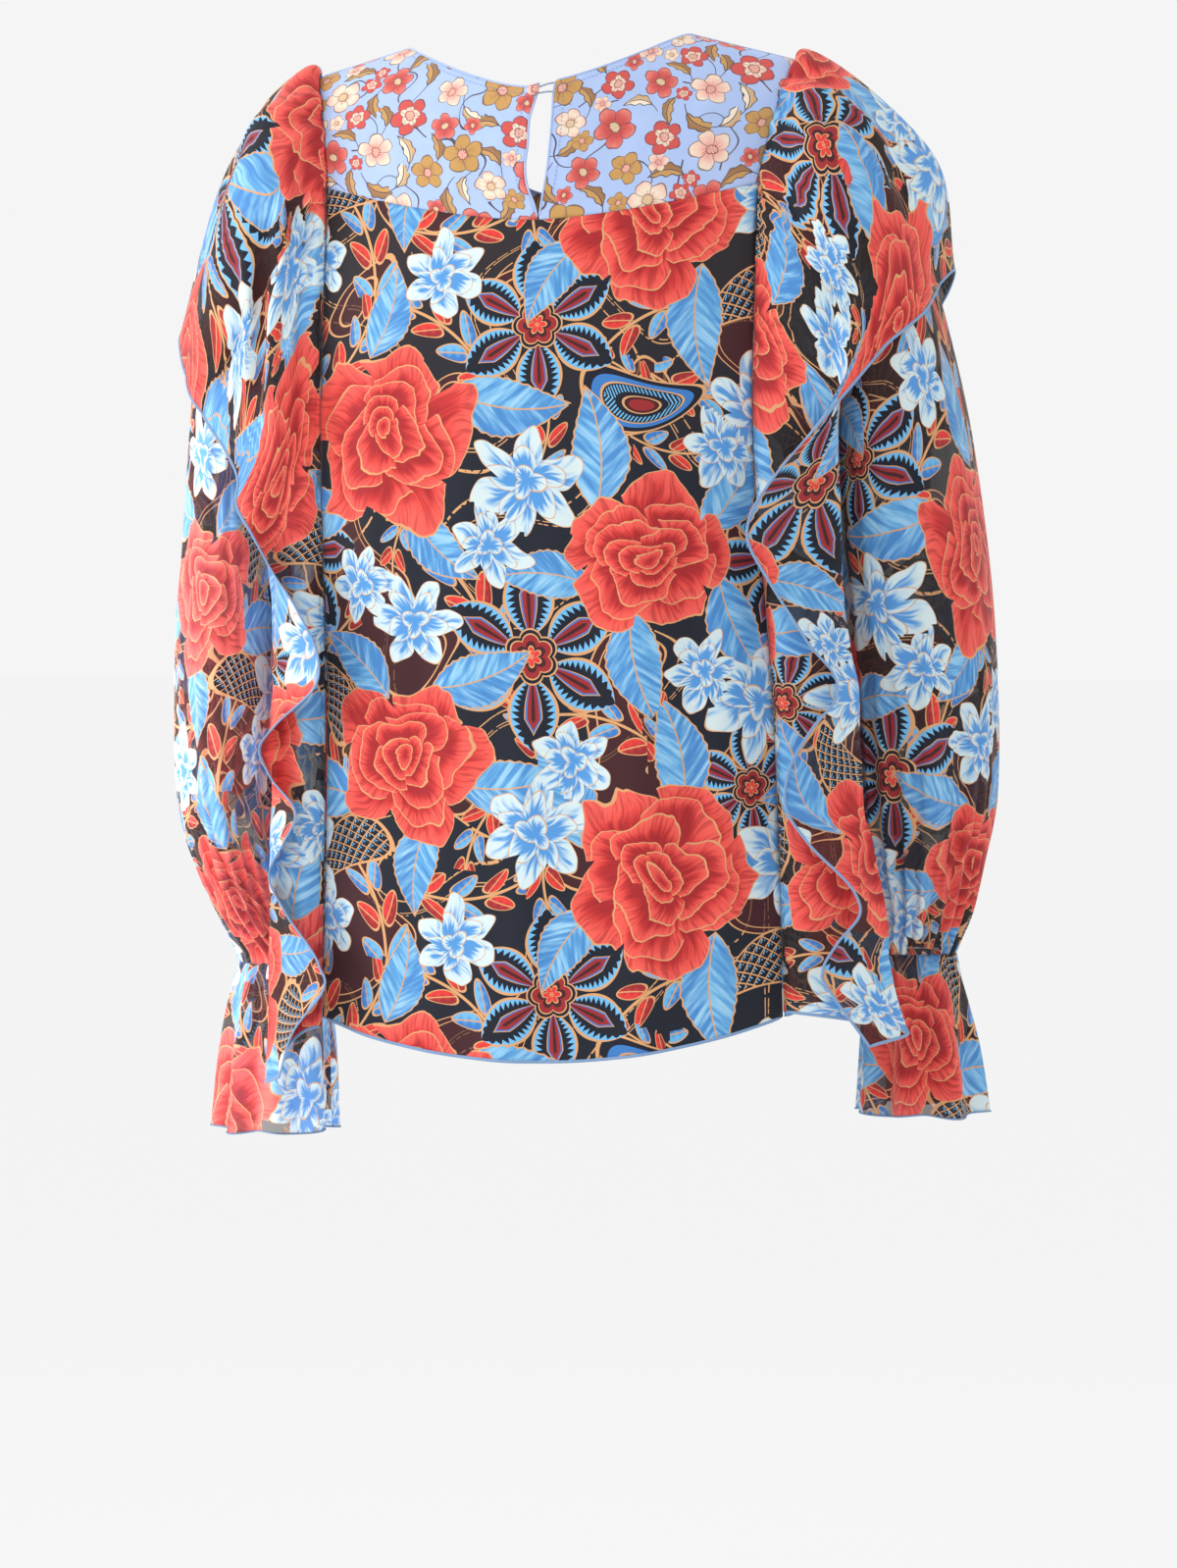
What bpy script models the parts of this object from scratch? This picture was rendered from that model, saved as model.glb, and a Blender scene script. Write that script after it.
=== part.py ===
"""A long-sleeved blouse in its worn, hollow form.

The yoke is closed at the back by a keyhole, two flounces run from the shoulders down the back seams
to the hem, and full sleeves are gathered into flared frills at the wrists. Metres, +Z up. The back
faces +Y and the wearer's left is +X. The origin is between the shoulders, at the height of the
shoulder seams, where the wearer's shoulders carry the blouse. Every cloth piece is a grid of points
across (columns) and along (rows), thickened by Solidify.
"""

import bmesh
import bpy
import numpy as np
from mathutils import Vector
from mathutils.bvhtree import BVHTree

# Driving dimensions
WALL = 0.0012                  # thickness of every cloth piece
FLOUNCE_SEAM_GAP = 0.0014      # from a seam line that holds a flounce to the edges that meet there
PLAIN_SEAM_GAP = 0.0004        # from any other seam line to the edges that meet there
UNDERARM_GAP = 0.0009          # from the armhole under the arm to the sleeve
FLOUNCE_ENDS = -0.135          # height at which the flounce has left the front seam
FLOUNCE_ENDS_OVER = 0.02       # height over which the front seam then closes
ROUNDNESS = 2.6                # superellipse exponent of the body's cross-section

SHOULDER_RISE = 0.034          # height of the two shoulder lines where they would cross
SHOULDER_SLOPE = 0.28
SHOULDER_TILT = 0.02           # the wearer's right shoulder is carried a little higher
SHOULDER_TIP = 0.158           # half of the distance between the tops of the armholes
SHOULDER_SEAM_GAP = 0.0005     # from the shoulder line to the middle of each yoke's wall

NECK_HALF = 0.092              # half width of the neck hole
NECK_CENTRE = 0.004
NECK_DROP_BACK = 0.060
NECK_DROP_FRONT = 0.115
NECK_POWER_BACK = 1.3
NECK_POWER_FRONT = 2.0

YOKE_SEAM_BACK = -0.1138       # height of the yoke seam at the centre back
YOKE_SEAM_FRONT = -0.118
YOKE_SEAM_RISE = 0.025         # how much higher it meets the armholes
YOKE_SEAM_HALF = 0.14
YOKE_SEAM_POWER = 1.6
CENTRE_BACK = -0.005

UNDERARM = -0.192              # where the armhole leaves the flounce seam
UNDERARM_SCOOP = 0.018         # how much lower it runs under the arm
ARMHOLE_LETS_GO = 3            # sections of a sleeve over which it lets go of the armhole's line

HEM_SIDE = -0.604
HEM_DIP = 0.038                # how much lower the hem hangs at the centre back
HEM_DIP_FRONT = 0.022
HEM_TILT = 0.015               # the hem rises towards the wearer's right
HEM_CENTRE = -0.0108
HEM_HALF = 0.183
HEM_SEAM = 0.1488              # half of the distance between the long seams at the hem

SLEEVE_COLUMNS = 48
WRIST_GATHERS = 16             # each takes three of the columns
CUFF_FLUTES = 8
FLOUNCE_LIFT = 0.005           # height to which a flounce stands up from its seam
FLOUNCE_FOLD_SHARE = 0.55      # share of a flounce's width from its seam to its outer fold
FLOUNCE_TURNS_UP = 0.004       # distance from the shoulder's top within which its root points up
FLOUNCE_CROWDING = 1.4         # how closely a flounce's columns crowd towards its seam
FLOUNCE_CLEAR_ROOT = 0.0036    # least distance of a flounce from what it lies over, by its seam
FLOUNCE_CLEAR_EDGE = 0.0055    # and by its free edge
EVENING_ROUNDS = 4
EVENING = 0.2                  # share of the way to its neighbours that a point moves in a round

LOOP_RADIUS = 0.0006
LOOP_ENDS = (0.0014, 0.0076)   # from the neck edge down to the loop's two ends on the right half
LOOP_SEAT = 0.0006             # from an end to the right half's edge
LOOP_STAND = 0.0015            # height of the loop's middle over the left half's middle surface
LOOP_BEND = 0.0018             # radius at which it runs round the button's shank
BUTTON_X = 0.0021
BUTTON_Z = -0.0315
BUTTON_SIDES = 16


def table(names, *rows):
    """A table as one array for each named column, and a column that numbers the rows."""
    return dict(zip(names.split(), np.array(rows, float).T), number=np.arange(len(rows)) * 1.0)


# How far the body's surface stands behind and in front of the shoulder line, by distance below it.
DEPTH = table(
    "drop back front",
    (0.000, 0.000, 0.000),
    (0.001, 0.006, 0.006),
    (0.003, 0.012, 0.012),
    (0.008, 0.021, 0.021),
    (0.020, 0.035, 0.035),
    (0.040, 0.053, 0.053),
    (0.060, 0.066, 0.065),
    (0.100, 0.084, 0.083),
    (0.150, 0.098, 0.101),
    (0.200, 0.107, 0.118),
    (0.280, 0.112, 0.128),
    (0.400, 0.113, 0.127),
    (0.550, 0.117, 0.125),
    (0.720, 0.122, 0.128),
)

# Plan of the body by height: its centre line, half width, and the distance of the long seams from it.
PLAN = table(
    "z centre half_width seam",
    (-0.70, -0.0115, 0.184, 0.1500),
    (-0.62, -0.0108, 0.183, 0.1488),
    (-0.41, -0.0078, 0.178, 0.1438),
    (-0.25, 0.0000, 0.173, 0.1390),
    (-0.14, 0.0000, 0.172, 0.1390),
    (-0.09, 0.0000, 0.172, 0.1405),
    (-0.065, 0.0000, 0.172, 0.1445),
    (-0.04, 0.0000, 0.172, 0.1495),
    (-0.02, 0.0000, 0.173, 0.1540),
    (0.00, 0.0000, 0.175, 0.1590),
)

# Keyhole: distance of its two edges from the centre back, by share of the way from neck to yoke seam.
KEYHOLE = table(
    "down left right",
    (0.00, 0.0045, 0.0055),
    (0.10, 0.0060, 0.0048),
    (0.22, 0.0088, 0.0050),
    (0.45, 0.0092, 0.0048),
    (0.62, 0.0100, 0.0042),
    (0.76, 0.0078, 0.0028),
    (0.90, 0.0028, 0.0012),
    (1.00, 0.0005, 0.0005),
)

# The button's profile from its shank to its crown: height over the cloth's middle surface, and radius.
BUTTON = table(
    "out radius",
    (0.0009, 0.0000),
    (0.0009, 0.0009),
    (0.0024, 0.0009),
    (0.0024, 0.0030),
    (0.0029, 0.0037),
    (0.0036, 0.0040),
    (0.0044, 0.0036),
    (0.0050, 0.0026),
    (0.0053, 0.0012),
    (0.0053, 0.0000),
)

SLEEVE_NAMES = "out_x out_z in_x in_z mid_y half_depth square gather"
# A row for each section of a sleeve, from the armhole to the elastic at the wrist: its outer and inner
# ends in X and Z, where its middle lies in Y, its half depth, how square it is and its gathers' height.
SLEEVES = {
    1: table(
        SLEEVE_NAMES,
        (0.161, -0.012, 0.178, -0.210, 0.000, 0.077, 2.4, 0.0000),
        (0.175, -0.017, 0.180, -0.212, 0.000, 0.079, 2.3, 0.0006),
        (0.190, -0.036, 0.180, -0.213, 0.000, 0.080, 2.2, 0.0010),
        (0.201, -0.066, 0.180, -0.215, -0.001, 0.079, 2.1, 0.0008),
        (0.214, -0.101, 0.180, -0.218, -0.002, 0.078, 2.1, 0.0005),
        (0.226, -0.146, 0.180, -0.226, -0.003, 0.076, 2.2, 0.0003),
        (0.234, -0.196, 0.180, -0.244, -0.004, 0.074, 2.4, 0.0003),
        (0.2400, -0.258, 0.1795, -0.276, -0.006, 0.072, 2.5, 0.0003),
        (0.2475, -0.340, 0.1805, -0.345, -0.009, 0.071, 2.5, 0.0004),
        (0.2510, -0.420, 0.1820, -0.421, -0.014, 0.072, 2.5, 0.0006),
        (0.2510, -0.490, 0.1830, -0.490, -0.022, 0.071, 2.4, 0.0010),
        (0.2440, -0.532, 0.1820, -0.532, -0.038, 0.064, 2.2, 0.0018),
        (0.2345, -0.566, 0.1775, -0.566, -0.056, 0.050, 2.0, 0.0024),
        (0.2275, -0.588, 0.1710, -0.588, -0.068, 0.033, 2.0, 0.0022),
        (0.2260, -0.597, 0.1700, -0.597, -0.070, 0.028, 2.0, 0.0018),
    ),
    -1: table(
        SLEEVE_NAMES,
        (-0.161, -0.006, -0.178, -0.210, 0.000, 0.078, 2.4, 0.0000),
        (-0.176, -0.011, -0.180, -0.212, 0.000, 0.080, 2.3, 0.0006),
        (-0.197, -0.031, -0.180, -0.213, 0.000, 0.080, 2.2, 0.0010),
        (-0.214, -0.058, -0.180, -0.215, 0.000, 0.079, 2.1, 0.0008),
        (-0.230, -0.095, -0.180, -0.218, -0.001, 0.078, 2.1, 0.0005),
        (-0.243, -0.139, -0.1795, -0.228, -0.002, 0.077, 2.2, 0.0003),
        (-0.256, -0.187, -0.1790, -0.246, -0.003, 0.077, 2.4, 0.0003),
        (-0.2690, -0.247, -0.1790, -0.274, -0.005, 0.076, 2.6, 0.0003),
        (-0.2810, -0.335, -0.1830, -0.342, -0.008, 0.076, 2.6, 0.0004),
        (-0.2860, -0.415, -0.1885, -0.417, -0.012, 0.077, 2.5, 0.0006),
        (-0.2850, -0.480, -0.1920, -0.480, -0.020, 0.075, 2.4, 0.0010),
        (-0.2760, -0.522, -0.1950, -0.522, -0.037, 0.066, 2.2, 0.0018),
        (-0.2665, -0.556, -0.2000, -0.556, -0.056, 0.050, 2.0, 0.0024),
        (-0.2570, -0.577, -0.1990, -0.577, -0.068, 0.033, 2.0, 0.0022),
        (-0.2545, -0.585, -0.1985, -0.585, -0.070, 0.028, 2.0, 0.0018),
    ),
}

CUFF_NAMES = "centre_x centre_y z radius_x radius_y flute"
# The frill below each wrist, from the elastic to its hem.
CUFFS = {
    1: table(
        CUFF_NAMES,
        (0.1980, -0.070, -0.5977, 0.0280, 0.0280, 0.0008),
        (0.1995, -0.070, -0.612, 0.0310, 0.0320, 0.0014),
        (0.2005, -0.070, -0.632, 0.0340, 0.0360, 0.0026),
        (0.2015, -0.069, -0.665, 0.0365, 0.0400, 0.0040),
        (0.2025, -0.068, -0.709, 0.0385, 0.0430, 0.0048),
    ),
    -1: table(
        CUFF_NAMES,
        (-0.2265, -0.070, -0.5857, 0.0280, 0.0280, 0.0008),
        (-0.2275, -0.070, -0.600, 0.0310, 0.0320, 0.0014),
        (-0.2300, -0.070, -0.620, 0.0340, 0.0360, 0.0026),
        (-0.2330, -0.069, -0.650, 0.0375, 0.0400, 0.0040),
        (-0.2350, -0.068, -0.690, 0.0410, 0.0430, 0.0050),
    ),
}

FLOUNCE_NAMES = "drop fold_x fold_y fold_z edge_x edge_y edge_z"
# A row for each fold of a flounce, by the height of its root below the armhole's top, negative on the
# front: where its outer fold lies, and where its free edge does.
FLOUNCES = {
    1: table(
        FLOUNCE_NAMES,
        (-0.108, 0.150, -0.082, -0.118, 0.156, -0.087, -0.130),
        (-0.080, 0.168, -0.088, -0.128, 0.180, -0.092, -0.168),
        (-0.045, 0.192, -0.078, -0.120, 0.216, -0.082, -0.192),
        (-0.018, 0.209, -0.050, -0.092, 0.238, -0.052, -0.190),
        (0.000, 0.219, -0.010, -0.068, 0.252, -0.012, -0.178),
        (0.020, 0.213, 0.030, -0.098, 0.243, 0.030, -0.193),
        (0.048, 0.197, 0.055, -0.131, 0.231, 0.055, -0.214),
        (0.086, 0.184, 0.075, -0.170, 0.214, 0.077, -0.239),
        (0.126, 0.175, 0.085, -0.199, 0.200, 0.088, -0.256),
        (0.168, 0.168, 0.095, -0.233, 0.190, 0.095, -0.274),
        (0.220, 0.166, 0.098, -0.271, 0.190, 0.098, -0.292),
        (0.273, 0.168, 0.092, -0.308, 0.177, 0.105, -0.313),
        (0.317, 0.171, 0.085, -0.333, 0.163, 0.110, -0.336),
        (0.350, 0.171, 0.080, -0.359, 0.147, 0.114, -0.359),
        (0.380, 0.171, 0.080, -0.391, 0.133, 0.116, -0.390),
        (0.400, 0.171, 0.080, -0.409, 0.136, 0.116, -0.408),
        (0.423, 0.171, 0.082, -0.433, 0.163, 0.108, -0.432),
        (0.441, 0.167, 0.088, -0.451, 0.175, 0.100, -0.448),
        (0.456, 0.168, 0.086, -0.465, 0.167, 0.106, -0.464),
        (0.480, 0.172, 0.080, -0.489, 0.149, 0.112, -0.487),
        (0.501, 0.172, 0.082, -0.510, 0.158, 0.108, -0.507),
        (0.520, 0.169, 0.088, -0.528, 0.168, 0.104, -0.526),
        (0.547, 0.173, 0.080, -0.556, 0.156, 0.110, -0.551),
        (0.576, 0.175, 0.076, -0.588, 0.133, 0.116, -0.584),
        (0.593, 0.175, 0.076, -0.609, 0.132, 0.116, -0.602),
        (0.604, 0.175, 0.080, -0.634, 0.152, 0.114, -0.629),
        (0.612, 0.175, 0.084, -0.660, 0.161, 0.108, -0.656),
    ),
    -1: table(
        FLOUNCE_NAMES,
        (-0.108, -0.150, -0.082, -0.118, -0.156, -0.087, -0.130),
        (-0.080, -0.168, -0.088, -0.124, -0.182, -0.092, -0.160),
        (-0.045, -0.198, -0.078, -0.112, -0.222, -0.082, -0.172),
        (-0.018, -0.228, -0.050, -0.084, -0.246, -0.052, -0.160),
        (0.000, -0.244, -0.010, -0.066, -0.258, -0.012, -0.141),
        (0.020, -0.240, 0.030, -0.094, -0.248, 0.030, -0.156),
        (0.048, -0.226, 0.055, -0.121, -0.232, 0.055, -0.177),
        (0.086, -0.210, 0.075, -0.152, -0.216, 0.080, -0.200),
        (0.125, -0.201, 0.088, -0.183, -0.198, 0.098, -0.224),
        (0.168, -0.196, 0.094, -0.214, -0.179, 0.112, -0.248),
        (0.217, -0.194, 0.092, -0.247, -0.158, 0.120, -0.274),
        (0.266, -0.195, 0.090, -0.284, -0.142, 0.122, -0.300),
        (0.306, -0.196, 0.090, -0.320, -0.142, 0.122, -0.319),
        (0.333, -0.197, 0.088, -0.345, -0.152, 0.122, -0.337),
        (0.373, -0.200, 0.086, -0.378, -0.178, 0.120, -0.378),
        (0.405, -0.206, 0.088, -0.410, -0.197, 0.110, -0.409),
        (0.427, -0.207, 0.086, -0.432, -0.181, 0.118, -0.431),
        (0.457, -0.208, 0.084, -0.461, -0.166, 0.122, -0.460),
        (0.478, -0.210, 0.084, -0.483, -0.165, 0.122, -0.481),
        (0.500, -0.214, 0.084, -0.504, -0.178, 0.120, -0.502),
        (0.530, -0.220, 0.090, -0.536, -0.207, 0.112, -0.534),
        (0.545, -0.222, 0.090, -0.549, -0.210, 0.110, -0.547),
        (0.565, -0.225, 0.088, -0.568, -0.196, 0.118, -0.566),
        (0.581, -0.228, 0.088, -0.585, -0.188, 0.122, -0.582),
        (0.594, -0.232, 0.090, -0.602, -0.192, 0.122, -0.594),
        (0.604, -0.238, 0.094, -0.621, -0.217, 0.118, -0.629),
    ),
}


def smooth(rows, key, column, at):
    """The named column at these key values: a cubic through the rows."""
    knots, values = rows[key], rows[column]
    slopes = np.gradient(values, knots)
    at = np.clip(at, knots[0], knots[-1])
    low = np.clip(np.searchsorted(knots, at) - 1, 0, len(knots) - 2)
    step = knots[low + 1] - knots[low]
    t = (at - knots[low]) / step
    return (
        values[low] * (1 + 2 * t) * (1 - t) ** 2
        + slopes[low] * step * t * (1 - t) ** 2
        + values[low + 1] * t * t * (3 - 2 * t)
        - slopes[low + 1] * step * t * t * (1 - t)
    )


def shoulder_line(x):
    return SHOULDER_RISE - SHOULDER_SLOPE * np.abs(x) - SHOULDER_TILT * x


def body_y(x, z, back=True):
    """How far behind (or in front of) the shoulders the body's surface lies at this X and Z."""
    drop = np.maximum(shoulder_line(x) - z, 0)
    depth = smooth(DEPTH, "drop", "back" if back else "front", drop)
    across = np.abs(x - smooth(PLAN, "z", "centre", z)) / smooth(PLAN, "z", "half_width", z)
    y = depth * (1 - np.minimum(across, 0.999) ** ROUNDNESS) ** (1 / ROUNDNESS)
    return y + SHOULDER_SEAM_GAP if back else -y - SHOULDER_SEAM_GAP


def on_body(x, z, back=True):
    return np.stack([x, body_y(x, z, back), z], axis=-1)


def body_ring(angle, z, side):
    """A point of the body's section, by the superellipse's angle from that side towards the back."""
    half_width = side * smooth(PLAN, "z", "half_width", z)
    cos, sin = np.cos(angle), np.sin(angle)
    x = smooth(PLAN, "z", "centre", z) + half_width * np.sign(cos) * np.abs(cos) ** (2 / ROUNDNESS)
    drop = shoulder_line(x) - z
    depth = np.where(
        sin > 0, smooth(DEPTH, "drop", "back", drop), smooth(DEPTH, "drop", "front", drop)
    )
    y = (depth * np.abs(sin) ** (2 / ROUNDNESS) + SHOULDER_SEAM_GAP) * np.sign(sin)
    return np.stack([x, y, z], axis=-1)


def seam_angle(z, offset):
    """The superellipse's angle at a long seam, moved this far round from it, towards the side."""
    share = (smooth(PLAN, "z", "seam", z) + offset) / smooth(PLAN, "z", "half_width", z)
    return np.arccos(np.minimum(share, 0.999) ** (ROUNDNESS / 2))


def seam_x(z, side, offset):
    return smooth(PLAN, "z", "centre", z) + side * (smooth(PLAN, "z", "seam", z) + offset)


def seam_gap(z, back):
    """The gap beside a long seam: wide where it holds a flounce, which is all the way down the back."""
    closed = np.clip((FLOUNCE_ENDS - z) / FLOUNCE_ENDS_OVER, 0, 0 if back else 1)
    return FLOUNCE_SEAM_GAP + (PLAIN_SEAM_GAP - FLOUNCE_SEAM_GAP) * closed


def neck_or_shoulder(x, drop, power):
    """The top edge of a yoke: the neck hole, and the shoulder line beyond it."""
    share = np.minimum(np.abs(x - NECK_CENTRE) / NECK_HALF, 1)
    return shoulder_line(x) - drop * (1 - share**power)


def yoke_seam(x, middle):
    return middle + YOKE_SEAM_RISE * (np.abs(x) / YOKE_SEAM_HALF) ** YOKE_SEAM_POWER


def hem(x, back):
    """The hem's height at this X. It hangs lower at the middle of the back and of the front."""
    share = np.minimum(np.abs(x - HEM_CENTRE) / HEM_HALF, 1)
    dip = np.where(back, HEM_DIP, HEM_DIP_FRONT)
    return HEM_SIDE - HEM_TILT * x - dip * (1 - share**2)


def yoke_half(side, columns, rows):
    """Half of the back yoke, from the keyhole's edge to the armhole."""
    across, down = np.meshgrid(np.linspace(0, 1, columns), np.linspace(0, 1, rows))
    edge_z = shoulder_line(side * SHOULDER_TIP) * (1 - down)
    edge_z += yoke_seam(YOKE_SEAM_HALF, YOKE_SEAM_BACK) * down
    outer = seam_x(edge_z, side, -FLOUNCE_SEAM_GAP)
    inner = CENTRE_BACK + side * smooth(KEYHOLE, "down", "left" if side > 0 else "right", down)
    x = inner + (outer - inner) * across
    top = neck_or_shoulder(x, NECK_DROP_BACK, NECK_POWER_BACK)
    z = top + (yoke_seam(x, YOKE_SEAM_BACK) + PLAIN_SEAM_GAP - top) * down
    return on_body(x, z)


def front_yoke(columns, rows):
    across, down = np.meshgrid(np.linspace(-1, 1, columns), np.linspace(0, 1, rows))
    side = np.sign(across)
    edge_z = shoulder_line(side * SHOULDER_TIP) * (1 - down)
    edge_z += yoke_seam(YOKE_SEAM_HALF, YOKE_SEAM_FRONT) * down
    x = seam_x(edge_z, 1, -FLOUNCE_SEAM_GAP) * across
    top = neck_or_shoulder(x, NECK_DROP_FRONT, NECK_POWER_FRONT)
    z = top + (yoke_seam(x, YOKE_SEAM_FRONT) + PLAIN_SEAM_GAP - top) * down
    return on_body(x, z, back=False)


def panel(columns, rows, back):
    """The back or the front below the yoke, between the two long seams."""
    across, down = np.meshgrid(np.linspace(-1, 1, columns), np.linspace(0, 1, rows))
    middle = YOKE_SEAM_BACK if back else YOKE_SEAM_FRONT
    low = hem(HEM_CENTRE + across * HEM_SEAM, back)
    high = yoke_seam(across * YOKE_SEAM_HALF, middle) - PLAIN_SEAM_GAP
    z = high + (low - high) * down
    half = smooth(PLAN, "z", "seam", z) - seam_gap(z, back)
    return on_body(smooth(PLAN, "z", "centre", z) + across * half, z, back)


def underarm(share):
    """The armhole's height under the arm, by the share of the way from back seam to front seam."""
    return UNDERARM - UNDERARM_SCOOP * np.sin(np.pi * share)


def side_panel(side, columns, rows):
    """The side of the body from the back long seam to the front one, below the armhole."""
    across, down = np.meshgrid(np.linspace(0, 1, columns), np.linspace(0, 1, rows))
    high = underarm(across) - PLAIN_SEAM_GAP
    near_z = high + (HEM_SIDE - high) * down
    from_back = seam_angle(near_z, seam_gap(near_z, back=True))
    from_front = seam_angle(near_z, seam_gap(near_z, back=False))
    angle = from_back - (from_back + from_front) * across
    low = hem(body_ring(angle, HEM_SIDE + 0 * angle, side)[..., 0], angle > 0)
    return body_ring(angle, high + (low - high) * down, side)


def armhole(side, steps=60):
    """The line that a sleeve starts from: down the back, round under the arm and up the front."""
    tip = shoulder_line(side * SHOULDER_TIP)
    crowded_to_the_top = np.linspace(0, 1, steps) ** 1.6
    z = tip + (UNDERARM - tip) * crowded_to_the_top
    back = on_body(seam_x(z, side, seam_gap(z, back=True)), z)
    front = on_body(seam_x(z, side, seam_gap(z, back=False)), z, back=False)
    share = np.linspace(0, 1, steps)
    z = underarm(share) + UNDERARM_GAP
    from_back = seam_angle(z, seam_gap(z, back=True))
    from_front = seam_angle(z, seam_gap(z, back=False))
    under = body_ring(from_back - (from_back + from_front) * share, z, side)
    return np.concatenate([back, under[1:-1], front[::-1]])


def sleeve_start(side, turn):
    """The armhole's points at these turns round the sleeve."""
    line = armhole(side)
    rows = SLEEVES[side]
    middle = (rows["out_z"][0] + rows["in_z"][0]) / 2
    reach = (rows["out_z"][0] - rows["in_z"][0]) / 2
    angle = np.arctan2(line[:, 1] / rows["half_depth"][0], (line[:, 2] - middle) / reach)
    angle = np.mod(angle, 2 * np.pi)
    order = np.argsort(angle)
    return np.stack(
        [np.interp(turn, angle[order], line[order, axis], period=2 * np.pi) for axis in range(3)],
        axis=-1,
    )


def sections(rows, count):
    """Every column of a table at evenly spaced numbers along its rows, as upright columns."""
    number = np.linspace(0, rows["number"][-1], count)[:, None]
    return {name: smooth(rows, "number", name, number) for name in rows}, number


def sleeve(side, rows_along):
    """Rings from the armhole to the wrist. The first follows the armhole and the rest let go of it."""
    turn = np.arange(SLEEVE_COLUMNS) / SLEEVE_COLUMNS * 2 * np.pi
    now, number = sections(SLEEVES[side], rows_along)
    cos, sin = np.cos(turn), np.sin(turn)
    wave = 1 + now["gather"] * np.sin(WRIST_GATHERS * turn) / now["half_depth"]
    along = np.sign(cos) * np.abs(cos) ** (2 / now["square"]) * wave
    deep = np.sign(sin) * np.abs(sin) ** (2 / now["square"]) * wave
    x = (now["out_x"] + now["in_x"]) / 2 + (now["out_x"] - now["in_x"]) / 2 * along
    z = (now["out_z"] + now["in_z"]) / 2 + (now["out_z"] - now["in_z"]) / 2 * along
    y = now["mid_y"] + now["half_depth"] * deep
    points = np.stack([x, y, z], axis=-1)
    hold = np.clip(1 - number / ARMHOLE_LETS_GO, 0, 1)[..., None] ** 2
    return points + (sleeve_start(side, turn) - points[0]) * hold


def cuff(side, rows_along):
    turn = np.arange(SLEEVE_COLUMNS) / SLEEVE_COLUMNS * 2 * np.pi
    now, _ = sections(CUFFS[side], rows_along)
    wave = now["flute"] * np.sin(CUFF_FLUTES * turn)
    x = now["centre_x"] + side * (now["radius_x"] + wave) * np.cos(turn)
    y = now["centre_y"] + (now["radius_y"] + wave) * np.sin(turn)
    return np.stack([x, y, now["z"] + 0 * turn], axis=-1)


def unit(vectors):
    return vectors / np.linalg.norm(vectors, axis=-1, keepdims=True)


def flounce_seam(side, drop):
    """Points of the seam that a flounce is sewn into, and the ways out of the body there.

    They go by height below the shoulder, which is negative on the front.
    """
    tip = shoulder_line(side * SHOULDER_TIP)
    z = tip - np.abs(drop)
    x = seam_x(z, side, 0)
    nudge = 1e-4

    def at(x, z):
        return np.where(drop[..., None] >= 0, on_body(x, z), on_body(x, z, back=False))

    across = at(x + nudge, z) - at(x - nudge, z)
    down = at(x, z - nudge) - at(x, z + nudge)
    normal = unit(np.cross(across, down)) * np.where(drop >= 0, 1, -1)[..., None]
    top = np.clip(1 - np.abs(drop) / FLOUNCE_TURNS_UP, 0, 1)[..., None]
    return at(x, z), unit(normal * (1 - top) + np.array([0, 0, 1.0]) * top)


def along_seam(side, front_end, back_end, steps=801):
    """Drops down a flounce's seam from its front end, and how far along the seam each one lies."""
    share = np.linspace(-1, 1, steps)
    drops = share * np.abs(share) * np.where(share < 0, -front_end, back_end)
    line, _ = flounce_seam(side, drops)
    paces = np.linalg.norm(np.diff(line, axis=0), axis=1)
    return drops, np.concatenate([[0], np.cumsum(paces)])


def flounce(side, columns, rows_along, covered):
    """Rows from seam to free edge, by way of the outer fold, kept clear of what they lie over."""
    rows = FLOUNCES[side]
    drops, lengths = along_seam(side, rows["drop"][0], rows["drop"][-1])
    rows = dict(rows, length=np.interp(rows["drop"], drops, lengths))
    run = np.linspace(0, lengths[-1], rows_along)
    root, normal = flounce_seam(side, np.interp(run, lengths, drops))
    fold = np.stack([smooth(rows, "length", "fold_" + axis, run) for axis in "xyz"], axis=-1)
    edge = np.stack([smooth(rows, "length", "edge_" + axis, run) for axis in "xyz"], axis=-1)
    lifted = root + normal * FLOUNCE_LIFT
    knots = np.stack([root, lifted, fold, edge])
    at = np.linspace(0, 1, columns) ** FLOUNCE_CROWDING
    share = np.array([0, at[1], FLOUNCE_FOLD_SHARE, 1])
    points = np.empty((rows_along, columns, 3))
    for row in range(rows_along):
        for axis in range(3):
            line = {"share": share, "place": knots[:, row, axis]}
            points[row, :, axis] = smooth(line, "share", "place", at)
    return kept_clear(points, covered)


def tree_of(grids):
    """A search tree of these closed or open grids' faces, their normals facing out."""
    points, faces = [], []
    for grid, closed in grids:
        quads = grid_faces(*grid.shape[:2], closed)
        faces += [[corner + len(points) for corner in quad] for quad in quads]
        points += [Vector(point) for point in grid.reshape(-1, 3)]
    return BVHTree.FromPolygons(points, faces)


def shortfall(point, covered, clear):
    """The move that takes this point out to that distance from the covered surfaces, or none."""
    near, out, _, _ = covered.find_nearest(Vector(point))
    lacking = clear - (Vector(point) - near).dot(out)
    return np.array(out) * max(lacking, 0)


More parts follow.
